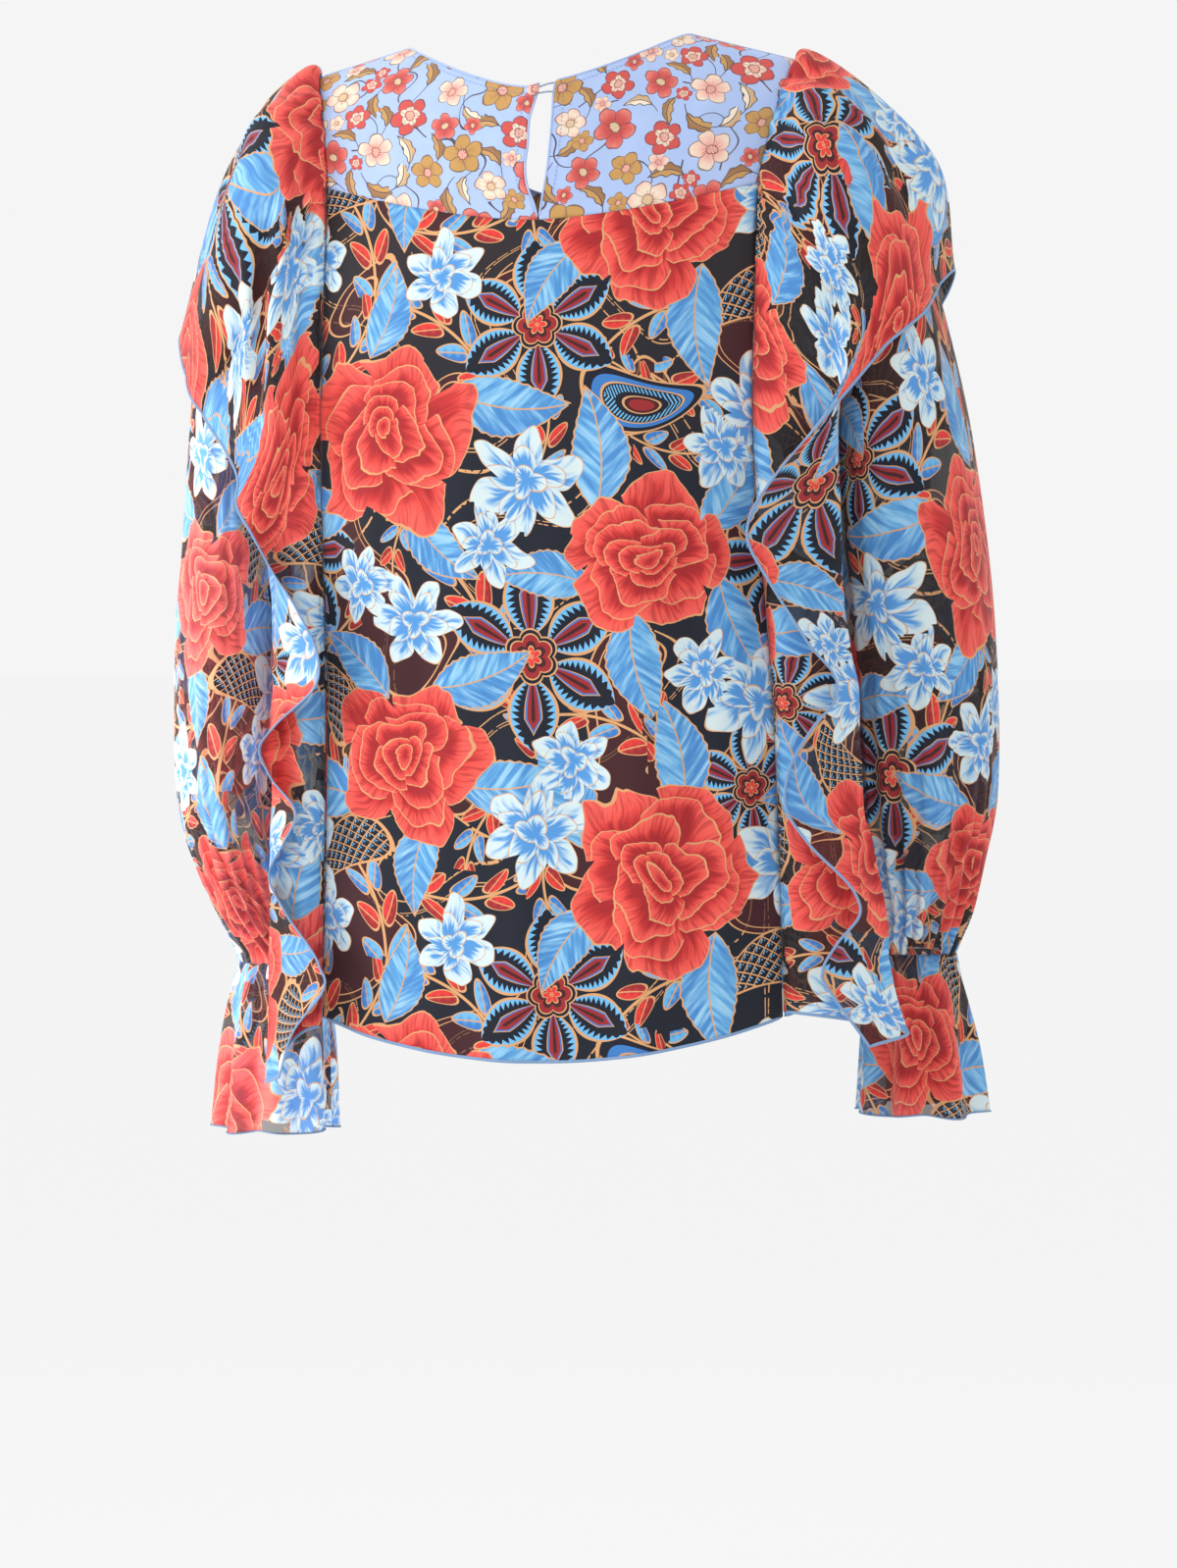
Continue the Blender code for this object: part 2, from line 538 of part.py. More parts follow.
def kept_clear(points, covered):
    """Moves the points and the faces beyond the root clear of the covered surfaces, and evens them."""
    rows, columns = points.shape[:2]
    clear = np.linspace(FLOUNCE_CLEAR_ROOT, FLOUNCE_CLEAR_EDGE, columns)
    for _ in range(EVENING_ROUNDS):
        inner = points[1:-1, 2:-1]
        inner += EVENING * (points[1:-1, 1:-2] + points[1:-1, 3:] - 2 * inner)
        inner += EVENING * (points[:-2, 2:-1] + points[2:, 2:-1] - 2 * inner)
        for row in range(rows):
            for column in range(1, columns):
                points[row, column] += shortfall(points[row, column], covered, clear[column])
        for row in range(rows - 1):
            for column in range(1, columns - 1):
                corners = points[row : row + 2, column : column + 2]
                corners += shortfall(corners.mean(axis=(0, 1)), covered, clear[column])
    return points


def grid_faces(rows, columns, closed):
    """Faces between neighbouring rows. A closed grid's last column meets its first."""
    last = columns if closed else columns - 1
    return [
        (
            row * columns + column,
            row * columns + (column + 1) % columns,
            (row + 1) * columns + (column + 1) % columns,
            (row + 1) * columns + column,
        )
        for row in range(rows - 1)
        for column in range(last)
    ]


def cloth_material(name, colour, roughness):
    material = bpy.data.materials.new(name)
    material.use_nodes = True
    surface = material.node_tree.nodes["Principled BSDF"]
    surface.inputs["Base Color"].default_value = (*colour, 1)
    surface.inputs["Roughness"].default_value = roughness
    surface.inputs["Metallic"].default_value = 0
    return material


def add_cloth(name, grid, closed, material, collection):
    """A grid of points as a cloth wall, thickened evenly to both sides."""
    mesh = bpy.data.meshes.new(name)
    shape = bmesh.new()
    points = [shape.verts.new(point) for point in grid.reshape(-1, 3)]
    for quad in grid_faces(*grid.shape[:2], closed):
        shape.faces.new([points[corner] for corner in quad])
    shape.to_mesh(mesh)
    shape.free()
    mesh.shade_smooth()
    mesh.materials.append(material)
    cloth = bpy.data.objects.new(name, mesh)
    collection.objects.link(cloth)
    wall = cloth.modifiers.new("wall", "SOLIDIFY")
    wall.thickness = WALL
    wall.offset = 0
    wall.use_even_offset = False
    return cloth


def out_of_back(x, z):
    """The direction straight out of the back's surface there."""
    nudge = 1e-4
    across = (body_y(x + nudge, z) - body_y(x - nudge, z)) / (2 * nudge)
    upwards = (body_y(x, z + nudge) - body_y(x, z - nudge)) / (2 * nudge)
    return unit(np.stack(np.broadcast_arrays(-across, 1.0, -upwards), axis=-1))


def add_neck_loop(material, collection):
    """The thread loop: out from the right half's edge, round the button's shank and back."""
    ends = []
    for drop in LOOP_ENDS:
        x = CENTRE_BACK - KEYHOLE["right"][0] + LOOP_SEAT
        ends.append((x, neck_or_shoulder(x, NECK_DROP_BACK, NECK_POWER_BACK) - drop))
    angle = np.linspace(np.pi / 2, -np.pi / 2, 7)
    bend = np.stack([BUTTON_X + LOOP_BEND * np.cos(angle), BUTTON_Z + LOOP_BEND * np.sin(angle)], axis=-1)
    share = np.array([0, 0.25, 0.5])[:, None]
    first = ends[0] + (bend[0] - ends[0]) * share
    last = bend[-1] + (np.array(ends[1]) - bend[-1]) * (1 - share[::-1])
    path = np.concatenate([first, bend, last])
    rise = np.concatenate([[0, 0.75, 1], np.ones(len(bend)), [1, 0.75, 0]]) * LOOP_STAND
    x, z = path.T
    points = on_body(x, z) + out_of_back(x, z) * rise[:, None]
    curve = bpy.data.curves.new("neck_loop", "CURVE")
    curve.dimensions = "3D"
    curve.bevel_depth = LOOP_RADIUS
    curve.bevel_resolution = 1
    curve.use_fill_caps = True
    line = curve.splines.new("POLY")
    line.points.add(len(points) - 1)
    for point, place in zip(line.points, points):
        point.co = (*place, 1)
    loop = bpy.data.objects.new("neck_loop", curve)
    loop.data.materials.append(material)
    collection.objects.link(loop)


def add_neck_button(material, collection):
    """The covered button on the left half, standing on its shank over the cloth."""
    shape = bmesh.new()
    profile = [shape.verts.new((radius, 0, out)) for out, radius in zip(BUTTON["out"], BUTTON["radius"])]
    for below, above in zip(profile[:-1], profile[1:]):
        shape.edges.new((below, above))
    mesh = bpy.data.meshes.new("neck_button")
    shape.to_mesh(mesh)
    shape.free()
    mesh.materials.append(material)
    button = bpy.data.objects.new("neck_button", mesh)
    out = out_of_back(np.array(BUTTON_X), np.array(BUTTON_Z))
    button.location = on_body(np.array(BUTTON_X), np.array(BUTTON_Z))
    button.rotation_euler = Vector(out).to_track_quat("Z", "Y").to_euler()
    collection.objects.link(button)
    turned = button.modifiers.new("turned", "SCREW")
    turned.steps = BUTTON_SIDES
    turned.render_steps = BUTTON_SIDES
    turned.use_merge_vertices = True
    turned.merge_threshold = 1e-5
    turned.use_normal_calculate = True


def clear_scene():
    for item in list(bpy.data.objects):
        bpy.data.objects.remove(item, do_unlink=True)


def main():
    clear_scene()
    blouse = bpy.data.collections.new("blouse")
    bpy.context.scene.collection.children.link(blouse)
    voile = cloth_material("printed_voile", (0.36, 0.49, 0.80), 0.85)
    chiffon = cloth_material("printed_chiffon", (0.16, 0.10, 0.14), 0.75)
    thread = cloth_material("thread", (0.25, 0.35, 0.55), 0.8)

    back = panel(14, 13, back=True)
    add_cloth("back_yoke_left", yoke_half(1, 9, 7), False, voile, blouse)
    add_cloth("back_yoke_right", yoke_half(-1, 9, 7), False, voile, blouse)
    add_cloth("front_yoke", front_yoke(21, 6), False, voile, blouse)
    add_cloth("back_panel", back, False, chiffon, blouse)
    add_cloth("front_panel", panel(14, 13, back=False), False, chiffon, blouse)
    add_neck_loop(thread, blouse)
    add_neck_button(voile, blouse)
    for side, hand in ((1, "left"), (-1, "right")):
        flank = side_panel(side, 8, 12)
        arm = sleeve(side, 15)
        frill = cuff(side, 5)
        covered = tree_of([(flank[:, ::side], False), (arm[:, ::-side], True), (back, False)])
        ruffle = flounce(side, 11, 42, covered)
        add_cloth("side_panel_" + hand, flank, False, chiffon, blouse)
        add_cloth("sleeve_" + hand, arm, True, chiffon, blouse)
        add_cloth("cuff_" + hand, frill, True, chiffon, blouse)
        add_cloth("flounce_" + hand, ruffle, False, chiffon, blouse)


main()
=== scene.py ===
import math
from functools import partialmethod

import bmesh
import bpy
import numpy as np
from mathutils import Matrix, Vector
from mathutils.bvhtree import BVHTree


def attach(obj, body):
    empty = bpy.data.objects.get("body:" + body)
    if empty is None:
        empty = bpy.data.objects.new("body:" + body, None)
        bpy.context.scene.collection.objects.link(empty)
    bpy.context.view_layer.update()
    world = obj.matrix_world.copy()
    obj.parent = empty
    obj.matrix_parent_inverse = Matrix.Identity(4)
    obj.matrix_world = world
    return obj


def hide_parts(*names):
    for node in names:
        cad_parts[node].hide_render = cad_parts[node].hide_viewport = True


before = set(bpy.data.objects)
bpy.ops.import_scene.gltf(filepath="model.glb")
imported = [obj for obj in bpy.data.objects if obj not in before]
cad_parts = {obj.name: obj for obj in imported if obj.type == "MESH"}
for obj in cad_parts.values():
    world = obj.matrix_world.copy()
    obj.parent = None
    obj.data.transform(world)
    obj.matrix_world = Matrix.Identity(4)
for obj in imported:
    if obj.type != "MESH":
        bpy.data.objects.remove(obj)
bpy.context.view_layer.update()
scene = bpy.context.scene
hands = {1: "left", -1: "right"}  # the wearer's, by the sign of X
print("frame loaded")


# Camera, light and floor

shot = {
    "at": (-0.48960, 2.95622, -0.32641),
    "towards": (-0.02086, -0.00330, -0.47296),
    "lens": 140.6,
    "sensor": 36.0,
    "clip": (0.05, 100),
}
studio = {
    "air": 0.912,
    "floorHeight": -1.45,
    "floorReach": 40.0,
    "floorPaint": 0.08,
    "floorGlow": 0.825,
    "lampsAim": (0, 0, -0.4),
    "lamps": [  # where, size, power, colour
        ((-1.6, 2.6, 1.5), 1.6, 5, (1.0, 0.985, 0.97)),
        ((3.0, 1.0, 0.2), 1.6, 62, (1.0, 0.99, 0.98)),
        ((2.0, 2.4, 0.8), 2.0, 8, (0.98, 0.99, 1.0)),
        ((0.3, -2.6, 1.2), 2.4, 22, (1.0, 1.0, 1.0)),
    ],
}


def grey(level):
    return (level, level, level, 1)


def standing(name, data, at, towards):  # a camera or a lamp that looks from one place to another
    thing = bpy.data.objects.new(name, data)
    thing.location = at
    thing.rotation_euler = (Vector(towards) - Vector(at)).to_track_quat("-Z", "Y").to_euler()
    scene.collection.objects.link(thing)
    return thing


def meshOf(name, shape):
    mesh = bpy.data.meshes.new(name)
    shape.to_mesh(mesh)
    shape.free()
    return mesh


def newMaterial(name, settings):
    material = bpy.data.materials.new(name)
    material.use_nodes = True
    surface = material.node_tree.nodes["Principled BSDF"]
    for socket, value in settings.items():
        surface.inputs[socket].default_value = value
    return material, surface


def addCamera():
    lens = bpy.data.cameras.new("shotCamera")
    lens.lens = shot["lens"]
    lens.sensor_width = shot["sensor"]
    lens.sensor_fit = "HORIZONTAL"
    lens.clip_start, lens.clip_end = shot["clip"]
    scene.camera = standing("shotCamera", lens, shot["at"], shot["towards"])


def addLight():
    scene.view_settings.view_transform = "Standard"
    world = bpy.data.worlds.new("studioAir")
    world.use_nodes = True
    world.node_tree.nodes["Background"].inputs["Color"].default_value = grey(studio["air"])
    scene.world = world
    for number, (where, size, power, colour) in enumerate(studio["lamps"]):
        light = bpy.data.lights.new(f"softbox{number}", "AREA")
        light.shape = "DISK"
        light.size = size
        light.energy = power
        light.color = colour
        standing(f"softbox{number}", light, where, studio["lampsAim"])


def addFloor():
    shape = bmesh.new()
    bmesh.ops.create_grid(shape, x_segments=8, y_segments=8, size=studio["floorReach"])
    bmesh.ops.translate(shape, verts=shape.verts, vec=(0, 0, studio["floorHeight"]))
    mesh = meshOf("studioFloor", shape)
    paint, _ = newMaterial("floorPaint", {
        "Base Color": grey(studio["floorPaint"]),
        "Roughness": 1.0,
        "Specular IOR Level": 0.0,
        "Emission Color": grey(studio["floorGlow"]),
        "Emission Strength": 1.0,
    })
    mesh.materials.append(paint)
    floor = bpy.data.objects.new("studioFloor", mesh)
    scene.collection.objects.link(floor)


addCamera()
addLight()
addFloor()
print("camera, lights and floor set")


# The form that the cloth hangs in, in metres. The back faces +Y and the wearer's left is +X.

def table(names, *rows):
    return dict(zip(names.split(), np.array(rows, float).T), number=np.arange(len(rows)) * 1.0)


form = {
    "roundness": 2.6,
    "shoulderRise": 0.034,
    "shoulderSlope": 0.28,
    "shoulderTilt": 0.02,
    "shoulderTip": 0.158,
    "shoulderSeamGap": 0.0005,
    "flounceSeamGap": 0.0005,
    "plainSeamGap": 0.0001,
    "flounceEnds": -0.135,
    "flounceEndsOver": 0.02,
    "underarm": -0.192,
    "underarmScoop": 0.018,
    "underarmGap": 0.0004,
    "hemSide": -0.604,
    "hemDip": (0.022, 0.038),  # front, back
    "hemTilt": 0.015,
    "hemCentre": -0.0108,
    "hemHalf": 0.183,
    "hemSeam": 0.1488,
}
depth = table(
    "drop back front",
    (0.000, 0.000, 0.000),
    (0.001, 0.006, 0.006),
    (0.003, 0.012, 0.012),
    (0.008, 0.021, 0.021),
    (0.020, 0.035, 0.035),
    (0.040, 0.053, 0.053),
    (0.060, 0.066, 0.065),
    (0.100, 0.084, 0.083),
    (0.150, 0.098, 0.101),
    (0.200, 0.107, 0.118),
    (0.280, 0.112, 0.128),
    (0.400, 0.113, 0.127),
    (0.550, 0.117, 0.125),
    (0.720, 0.122, 0.128),
)
plan = table(
    "z centre half seam",
    (-0.70, -0.0115, 0.184, 0.1500),
    (-0.62, -0.0108, 0.183, 0.1488),
    (-0.41, -0.0078, 0.178, 0.1438),
    (-0.25, 0.0000, 0.173, 0.1390),
    (-0.14, 0.0000, 0.172, 0.1390),
    (-0.09, 0.0000, 0.172, 0.1405),
    (-0.065, 0.0000, 0.172, 0.1445),
    (-0.04, 0.0000, 0.172, 0.1495),
    (-0.02, 0.0000, 0.173, 0.1540),
    (0.00, 0.0000, 0.175, 0.1590),
)


def smooth(rows, key, column, at):  # a cubic through a table's rows
    knots, values = rows[key], rows[column]
    slopes = np.gradient(values, knots)
    at = np.clip(at, knots[0], knots[-1])
    low = np.clip(np.searchsorted(knots, at) - 1, 0, len(knots) - 2)
    step = knots[low + 1] - knots[low]
    t = (at - knots[low]) / step
    return (
        values[low] * (1 + 2 * t) * (1 - t) ** 2
        + slopes[low] * step * t * (1 - t) ** 2
        + values[low + 1] * t * t * (3 - 2 * t)
        - slopes[low + 1] * step * t * t * (1 - t)
    )


def sections(rows, count):
    number = np.linspace(0, rows["number"][-1], count)[:, None]
    return {name: smooth(rows, "number", name, number) for name in rows}, number


def unit(vectors):
    return vectors / np.maximum(np.linalg.norm(vectors, axis=-1, keepdims=True), 1e-12)


def spread(columns, rows, low=0.0):
    return np.meshgrid(np.linspace(low, 1, columns), np.linspace(0, 1, rows))


def shoulderLine(x):
    return form["shoulderRise"] - form["shoulderSlope"] * np.abs(x) - form["shoulderTilt"] * x


def bodyY(x, z, back=True):
    deep = smooth(depth, "drop", "back" if back else "front", np.maximum(shoulderLine(x) - z, 0))
    across = np.abs(x - smooth(plan, "z", "centre", z)) / smooth(plan, "z", "half", z)
    y = deep * (1 - np.minimum(across, 0.999) ** form["roundness"]) ** (1 / form["roundness"])
    return y + form["shoulderSeamGap"] if back else -y - form["shoulderSeamGap"]


def onBody(x, z, back=True):
    return np.stack([x, bodyY(x, z, back), z], axis=-1)


def bodyRing(angle, z, side):
    half = side * smooth(plan, "z", "half", z)
    cos, sin = np.cos(angle), np.sin(angle)
    x = smooth(plan, "z", "centre", z) + half * np.sign(cos) * np.abs(cos) ** (2 / form["roundness"])
    drop = shoulderLine(x) - z
    deep = np.where(sin > 0, smooth(depth, "drop", "back", drop), smooth(depth, "drop", "front", drop))
    y = (deep * np.abs(sin) ** (2 / form["roundness"]) + form["shoulderSeamGap"]) * np.sign(sin)
    return np.stack([x, y, z], axis=-1)


def seamAngle(z, offset):
    share = (smooth(plan, "z", "seam", z) + offset) / smooth(plan, "z", "half", z)
    return np.arccos(np.minimum(share, 0.999) ** (form["roundness"] / 2))


def seamX(z, side, offset):
    return smooth(plan, "z", "centre", z) + side * (smooth(plan, "z", "seam", z) + offset)


def seamGap(z, back):
    closed = np.clip((form["flounceEnds"] - z) / form["flounceEndsOver"], 0, 0 if back else 1)
    return form["flounceSeamGap"] + (form["plainSeamGap"] - form["flounceSeamGap"]) * closed


def hemHeight(x, back):
    share = np.minimum(np.abs(x - form["hemCentre"]) / form["hemHalf"], 1)
    dip = np.where(back, form["hemDip"][1], form["hemDip"][0])
    return form["hemSide"] - form["hemTilt"] * x - dip * (1 - share**2)


# Cloth as fine grids of points, with each corner's place on the flat cut

crease = {"steps": 33, "seenFrom": 0.02, "fade": 4, "shallows": 0.45}
extents = {  # each motif's width for its length, its reach, and how much of it hides what is under it
    "spray": (0.5, 1.65, 0.0),
    "paisley": (0.5, 1.25, 0.0),
    "medallion": (1.0, 1.06, 0.22),
    "leaf": (0.5, 1.3, 0.0),
    "blossom": (1.0, 1.28, 0.35),
    "rose": (1.0, 1.38, 0.5),
    "leaflet": (0.5, 1.9, 0.0),
    "bud": (1.0, 1.9, 0.0),
    "posy": (1.0, 1.9, 0.0),
}
farthest = max(reach for _, reach, _ in extents.values())
outOfSight = 9.0  # further than any motif reaches, in its radii


def paces(points, axis):  # lengths between neighbours along that axis
    return np.linalg.norm(np.diff(points, axis=axis), axis=-1)


def summed(steps, axis=0):  # running totals, from nothing
    return np.concatenate([np.zeros_like(steps.take([0], axis)), np.cumsum(steps, axis=axis)], axis=axis)


def laidFlat(points, middle=0.5, anchor=0):  # a panel's cut: arc lengths from its middle and its anchor row
    across, down = summed(paces(points, 1), 1), summed(paces(points, 0))
    column = int(round(middle * (points.shape[1] - 1)))
    level = points[anchor, :, 2] - points[anchor, column, 2]
    return np.stack([across - across[:, column : column + 1], level - down + down[anchor]], axis=-1)


def normalsOf(points, closed=False):
    if closed:  # the last column repeats the first
        ring = np.concatenate([points[:, -2:-1], points, points[:, 1:2]], axis=1)
        across = (ring[:, 2:] - ring[:, :-2]) / 2
    else:
        across = np.gradient(points, axis=1)
    return unit(np.cross(across, np.gradient(points, axis=0)))


def bow(start, middle, end, t):  # a curve through three places
    return start * (1 - t) ** 2 + 2 * (2 * middle - (start + end) / 2) * t * (1 - t) + end * t * t


def creased(points, rows, back=True, closed=False):
    # rows: X and Z of a crease's start, middle and end, its half width and its height
    normals = normalsOf(points, closed)
    outwards = np.sign(normals[..., 1:2]) * (1 if back else -1)
    seen = points[..., 1] * (1 if back else -1) > crease["seenFrom"]
    t = np.linspace(0, 1, crease["steps"])
    lift = np.zeros(points.shape[:2])
    for x0, z0, x1, z1, x2, z2, half, height in rows:
        lineX, lineZ = bow(x0, x1, x2, t), bow(z0, z1, z2, t)
        best = np.full(points.shape[:2], 1e9)
        share = np.zeros(points.shape[:2])
        for number in range(len(t) - 1):
            offX, offZ = points[..., 0] - lineX[number], points[..., 2] - lineZ[number]
            runX, runZ = lineX[number + 1] - lineX[number], lineZ[number + 1] - lineZ[number]
            along = np.clip((offX * runX + offZ * runZ) / (runX**2 + runZ**2), 0, 1)
            far = (offX - along * runX) ** 2 + (offZ - along * runZ) ** 2
            nearer = far < best
            best[nearer] = far[nearer]
            share[nearer] = t[number] + along[nearer] / (len(t) - 1)
        fade = np.clip(np.minimum(share, 1 - share) * crease["fade"], 0, 1)
        q = best / half**2
        lift += height * fade * fade * (3 - 2 * fade) * (1 - crease["shallows"] * q) * np.exp(-q)
    return points + normals * (outwards * (lift * seen)[..., None])


def alongAxes(off, cos, sin):  # offsets measured along turned axes
    return off[:, 0] * cos + off[:, 1] * sin, off[:, 1] * cos - off[:, 0] * sin


def layMotifs(mesh, flat, fabric):  # each face's nearest motif of each kind, as its own coordinates
    starts = np.empty(len(mesh.polygons), int)
    mesh.polygons.foreach_get("loop_start", starts)
    middle = np.add.reduceat(flat, starts, axis=0) / 4
    face = np.repeat(np.arange(len(starts)), 4)
    tile = np.array(fabric["repeat"])
    shows = {}
    hidden = np.zeros(len(starts), bool)
    for name in reversed(fabric["motifs"]):
        squash, reach, core = extents[name]
        best = np.full(len(starts), outOfSight)
        chosen = np.zeros((len(starts), 5))
        for x, y, radius, turn, seed in fabric["motifs"][name]:
            centre = np.array([x, y]) + np.round((middle - np.array([x, y])) / tile) * tile
            turn = math.radians(turn)
            along, across = alongAxes((middle - centre) / radius, math.cos(turn), math.sin(turn))
            far = np.hypot(along, across / squash)
            nearer = far < best
            best[nearer] = far[nearer]
            chosen[nearer, :2] = centre[nearer]
            chosen[nearer, 2:] = radius, turn, seed
        _, _, radius, turn, seed = chosen[face].T
        off = (flat - chosen[face, :2]) / np.maximum(radius, 1e-6)[:, None]
        local = np.stack([*alongAxes(off, np.cos(turn), np.sin(turn)), seed], 1)
        local[best[face] > farthest] = (0, outOfSight, 0)
        stored = mesh.attributes.new(name, "FLOAT_VECTOR", "CORNER")
        stored.data.foreach_set("vector", local.astype(np.float32).ravel())
        shows[name] = (best < reach) & ~hidden
        hidden |= best < core
    return shows


def barestLayers(shows, layers):  # the last of the materials that has every motif a face shows
    number = np.zeros(len(next(iter(shows.values()))), np.int32)
    for place, names in enumerate(layers):
        others = [shown for name, shown in shows.items() if name not in names]
        number[~np.any(others or [number < 0], axis=0)] = place
    return number


def flatArea(flat):
    one = flat[1:, 1:] - flat[:-1, :-1]
    other = flat[1:, :-1] - flat[:-1, 1:]
    return float(np.abs(one[..., 0] * other[..., 1] - one[..., 1] * other[..., 0]).sum() / 2)


def gridMesh(name, points, flat):
    rows, columns = points.shape[:2]
    shape = bmesh.new()
    bmesh.ops.create_grid(shape, x_segments=columns - 1, y_segments=rows - 1, size=1.0)
    mesh = meshOf(name, shape)
    mesh.vertices.foreach_set("co", points.astype(np.float32).ravel())
    corners = np.empty(len(mesh.loops), int)
    mesh.loops.foreach_get("vertex_index", corners)
    cut = flat.reshape(-1, 2)[corners]
    mesh.uv_layers.new(name="cut").data.foreach_set("uv", cut.astype(np.float32).ravel())
    return mesh, cut


def finishedMesh(mesh, closed, flipped):
    shape = bmesh.new()
    shape.from_mesh(mesh)
    if closed:
        bmesh.ops.remove_doubles(shape, verts=shape.verts, dist=1e-6)
    if flipped:
        bmesh.ops.reverse_faces(shape, faces=shape.faces)
    shape.to_mesh(mesh)
    shape.free()
    mesh.shade_smooth()


def place(mesh, slot, *nodes):
    piece = bpy.data.objects.new(mesh.name, mesh)
    scene.collection.objects.link(piece)
    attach(piece, "root")
    if nodes:
        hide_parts(*nodes)
    return piece


def addCloth(node, points, flat, spot, fabric, closed=False, flipped=False, look="worn"):
    # flat: each point's place on the cut. spot: where the cut lies in the print, and how far it is turned
    x, y, turn = spot
    cos, sin = math.cos(math.radians(turn)), math.sin(math.radians(turn))
    laidX = flat[..., 0] * cos - flat[..., 1] * sin + x
    laidY = flat[..., 0] * sin + flat[..., 1] * cos + y
    name = node.replace("_", "-")
    mesh, corners = gridMesh(name, points, np.stack([laidX, laidY], -1))
    shows = layMotifs(mesh, corners, fabric)
    mesh.polygons.foreach_set("material_index", barestLayers(shows, fabric["layers"]))
    finishedMesh(mesh, closed, flipped)
    for material in fabric["materials"][look]:
        mesh.materials.append(material)
    piece = place(mesh, fabric["slot"], node)
    wall = piece.modifiers.new("wall", "SOLIDIFY")
    wall.thickness = fabric["thickness"]
    wall.offset = 0
    wall.use_even_offset = False
    width, length = np.ptp(flat[..., 0]), np.ptp(flat[..., 1])
    min(flatArea(flat), width * length)
    print(f"{name}: cut {width:.3f} x {length:.3f}, {flatArea(flat):.4f} square metres")


# Thread: the wrapped edges, the stitches and the neck loop

thread = {
    "sides": 8,
    "lap": 0.0066,  # how far the thread's turns run on in one round
    "edge": (0.0021, 0.0013),  # how wide and how thick
    "cuffEdge": (0.0012, 0.0021),
    "neckRoll": (0.0016, 0.0014),
    "keyholeRoll": (0.0015, 0.0013),
}
stitch = {"long": 0.0021, "gap": 0.0008, "thick": 0.00045, "stand": 0.0003}


def addRope(name, path, normals, size, material, closed=False, lap=thread["lap"]):
    # an oval swept along the path, its long way across the cloth's edge
    tangent = unit(np.gradient(path, axis=0))
    if closed:
        tangent[0] = tangent[-1] = unit(path[1] - path[-2])
    side = unit(np.cross(tangent, normals))
    lift = np.cross(side, tangent)
    wide, thick = size
    turn = np.linspace(0, 2 * np.pi, thread["sides"] + 1)
    full = np.ones(len(path))
    if not closed:
        full[0] = full[-1] = 0.0
        full[1] = full[-2] = 0.8
    across, upwards = (np.cos(turn) * wide / 2)[:, None], (np.sin(turn) * thick / 2)[:, None]
    points = path[:, None] + (side[:, None] * across + lift[:, None] * upwards) * full[:, None, None]
    flat = np.stack(np.broadcast_arrays(turn / (2 * np.pi) * lap, summed(paces(path, 0))[:, None]), axis=-1)
    mesh, _ = gridMesh(name, points, flat)
    finishedMesh(mesh, True, False)
    mesh.materials.append(material)
    return place(mesh, "thread")


def alongPath(where, along, values):  # the path's points or normals at that length of it
    return np.stack([np.interp(where, along, column) for column in values.T], axis=-1)


def addStitches(name, path, normals):
    path = path + normals * stitch["stand"]
    along = summed(paces(path, 0))
    long, gap, thick = stitch["long"], stitch["gap"], stitch["thick"]
    shape = bmesh.new()
    for start in np.arange(gap, along[-1] - long, long + gap):
        ends = alongPath([start, start + long], along, path)
        lift = unit(alongPath(start, along, normals))
        run = unit(ends[1] - ends[0])
        side = np.cross(lift, run)
        turned = Matrix((run * long / 2, side * thick / 2, lift * thick / 2)).transposed().to_4x4()
        turned.translation = Vector(ends.mean(axis=0) + lift * thick * 0.4)
        bmesh.ops.create_icosphere(shape, subdivisions=1, radius=1.0, matrix=turned)
    mesh = meshOf(name, shape)
    mesh.shade_smooth()
    mesh.materials.append(sewing)
    place(mesh, "thread")


# Materials: node sums, then the prints

def tint(red, green, blue):  # screen colours to the linear ones that shaders take
    shares = (((c / 255 + 0.055) / 1.055) ** 2.4 if c > 10 else c / 3295 for c in (red, green, blue))
    return (*shares, 1)


class Field:  # a node's output that sums can be written with
    def __init__(self, tree, socket):
        self.tree = tree
        self.socket = socket

    def sum(self, operation, *others):
        node = self.tree.nodes.new("ShaderNodeMath")
        node.operation = operation
        for socket, value in zip(node.inputs, (self,) + others):
            plug(socket, value)
        return Field(self.tree, node.outputs[0])

    __add__ = __radd__ = partialmethod(sum, "ADD")
    __sub__ = partialmethod(sum, "SUBTRACT")
    __rsub__ = partialmethod(sum, "MULTIPLY_ADD", -1)
    __mul__ = __rmul__ = partialmethod(sum, "MULTIPLY")
    __truediv__ = partialmethod(sum, "DIVIDE")
    __pow__ = partialmethod(sum, "POWER")
    __lt__ = partialmethod(sum, "LESS_THAN")
    __gt__ = partialmethod(sum, "GREATER_THAN")
    __abs__ = partialmethod(sum, "ABSOLUTE")
    __or__ = atLeast = partialmethod(sum, "MAXIMUM")
    atMost = partialmethod(sum, "MINIMUM")
    times = partialmethod(sum, "MULTIPLY_ADD")
    near = partialmethod(sum, "COMPARE")
    root = partialmethod(sum, "SQRT")
    sine = partialmethod(sum, "SINE")
    fraction = partialmethod(sum, "FRACT")

    def capped(self):
        total = self + 0.0
        total.socket.node.use_clamp = True
        return total


def plug(socket, value):
    if isinstance(value, Field):
        value.tree.links.new(value.socket, socket)
    else:
        socket.default_value = value


def mixed(factor, under, over):  # a colour between two
    node = factor.tree.nodes.new("ShaderNodeMix")
    node.data_type = "RGBA"
    plug(node.inputs[0], factor)
    plug(node.inputs[6], under)
    plug(node.inputs[7], over)
    return Field(factor.tree, node.outputs[2])


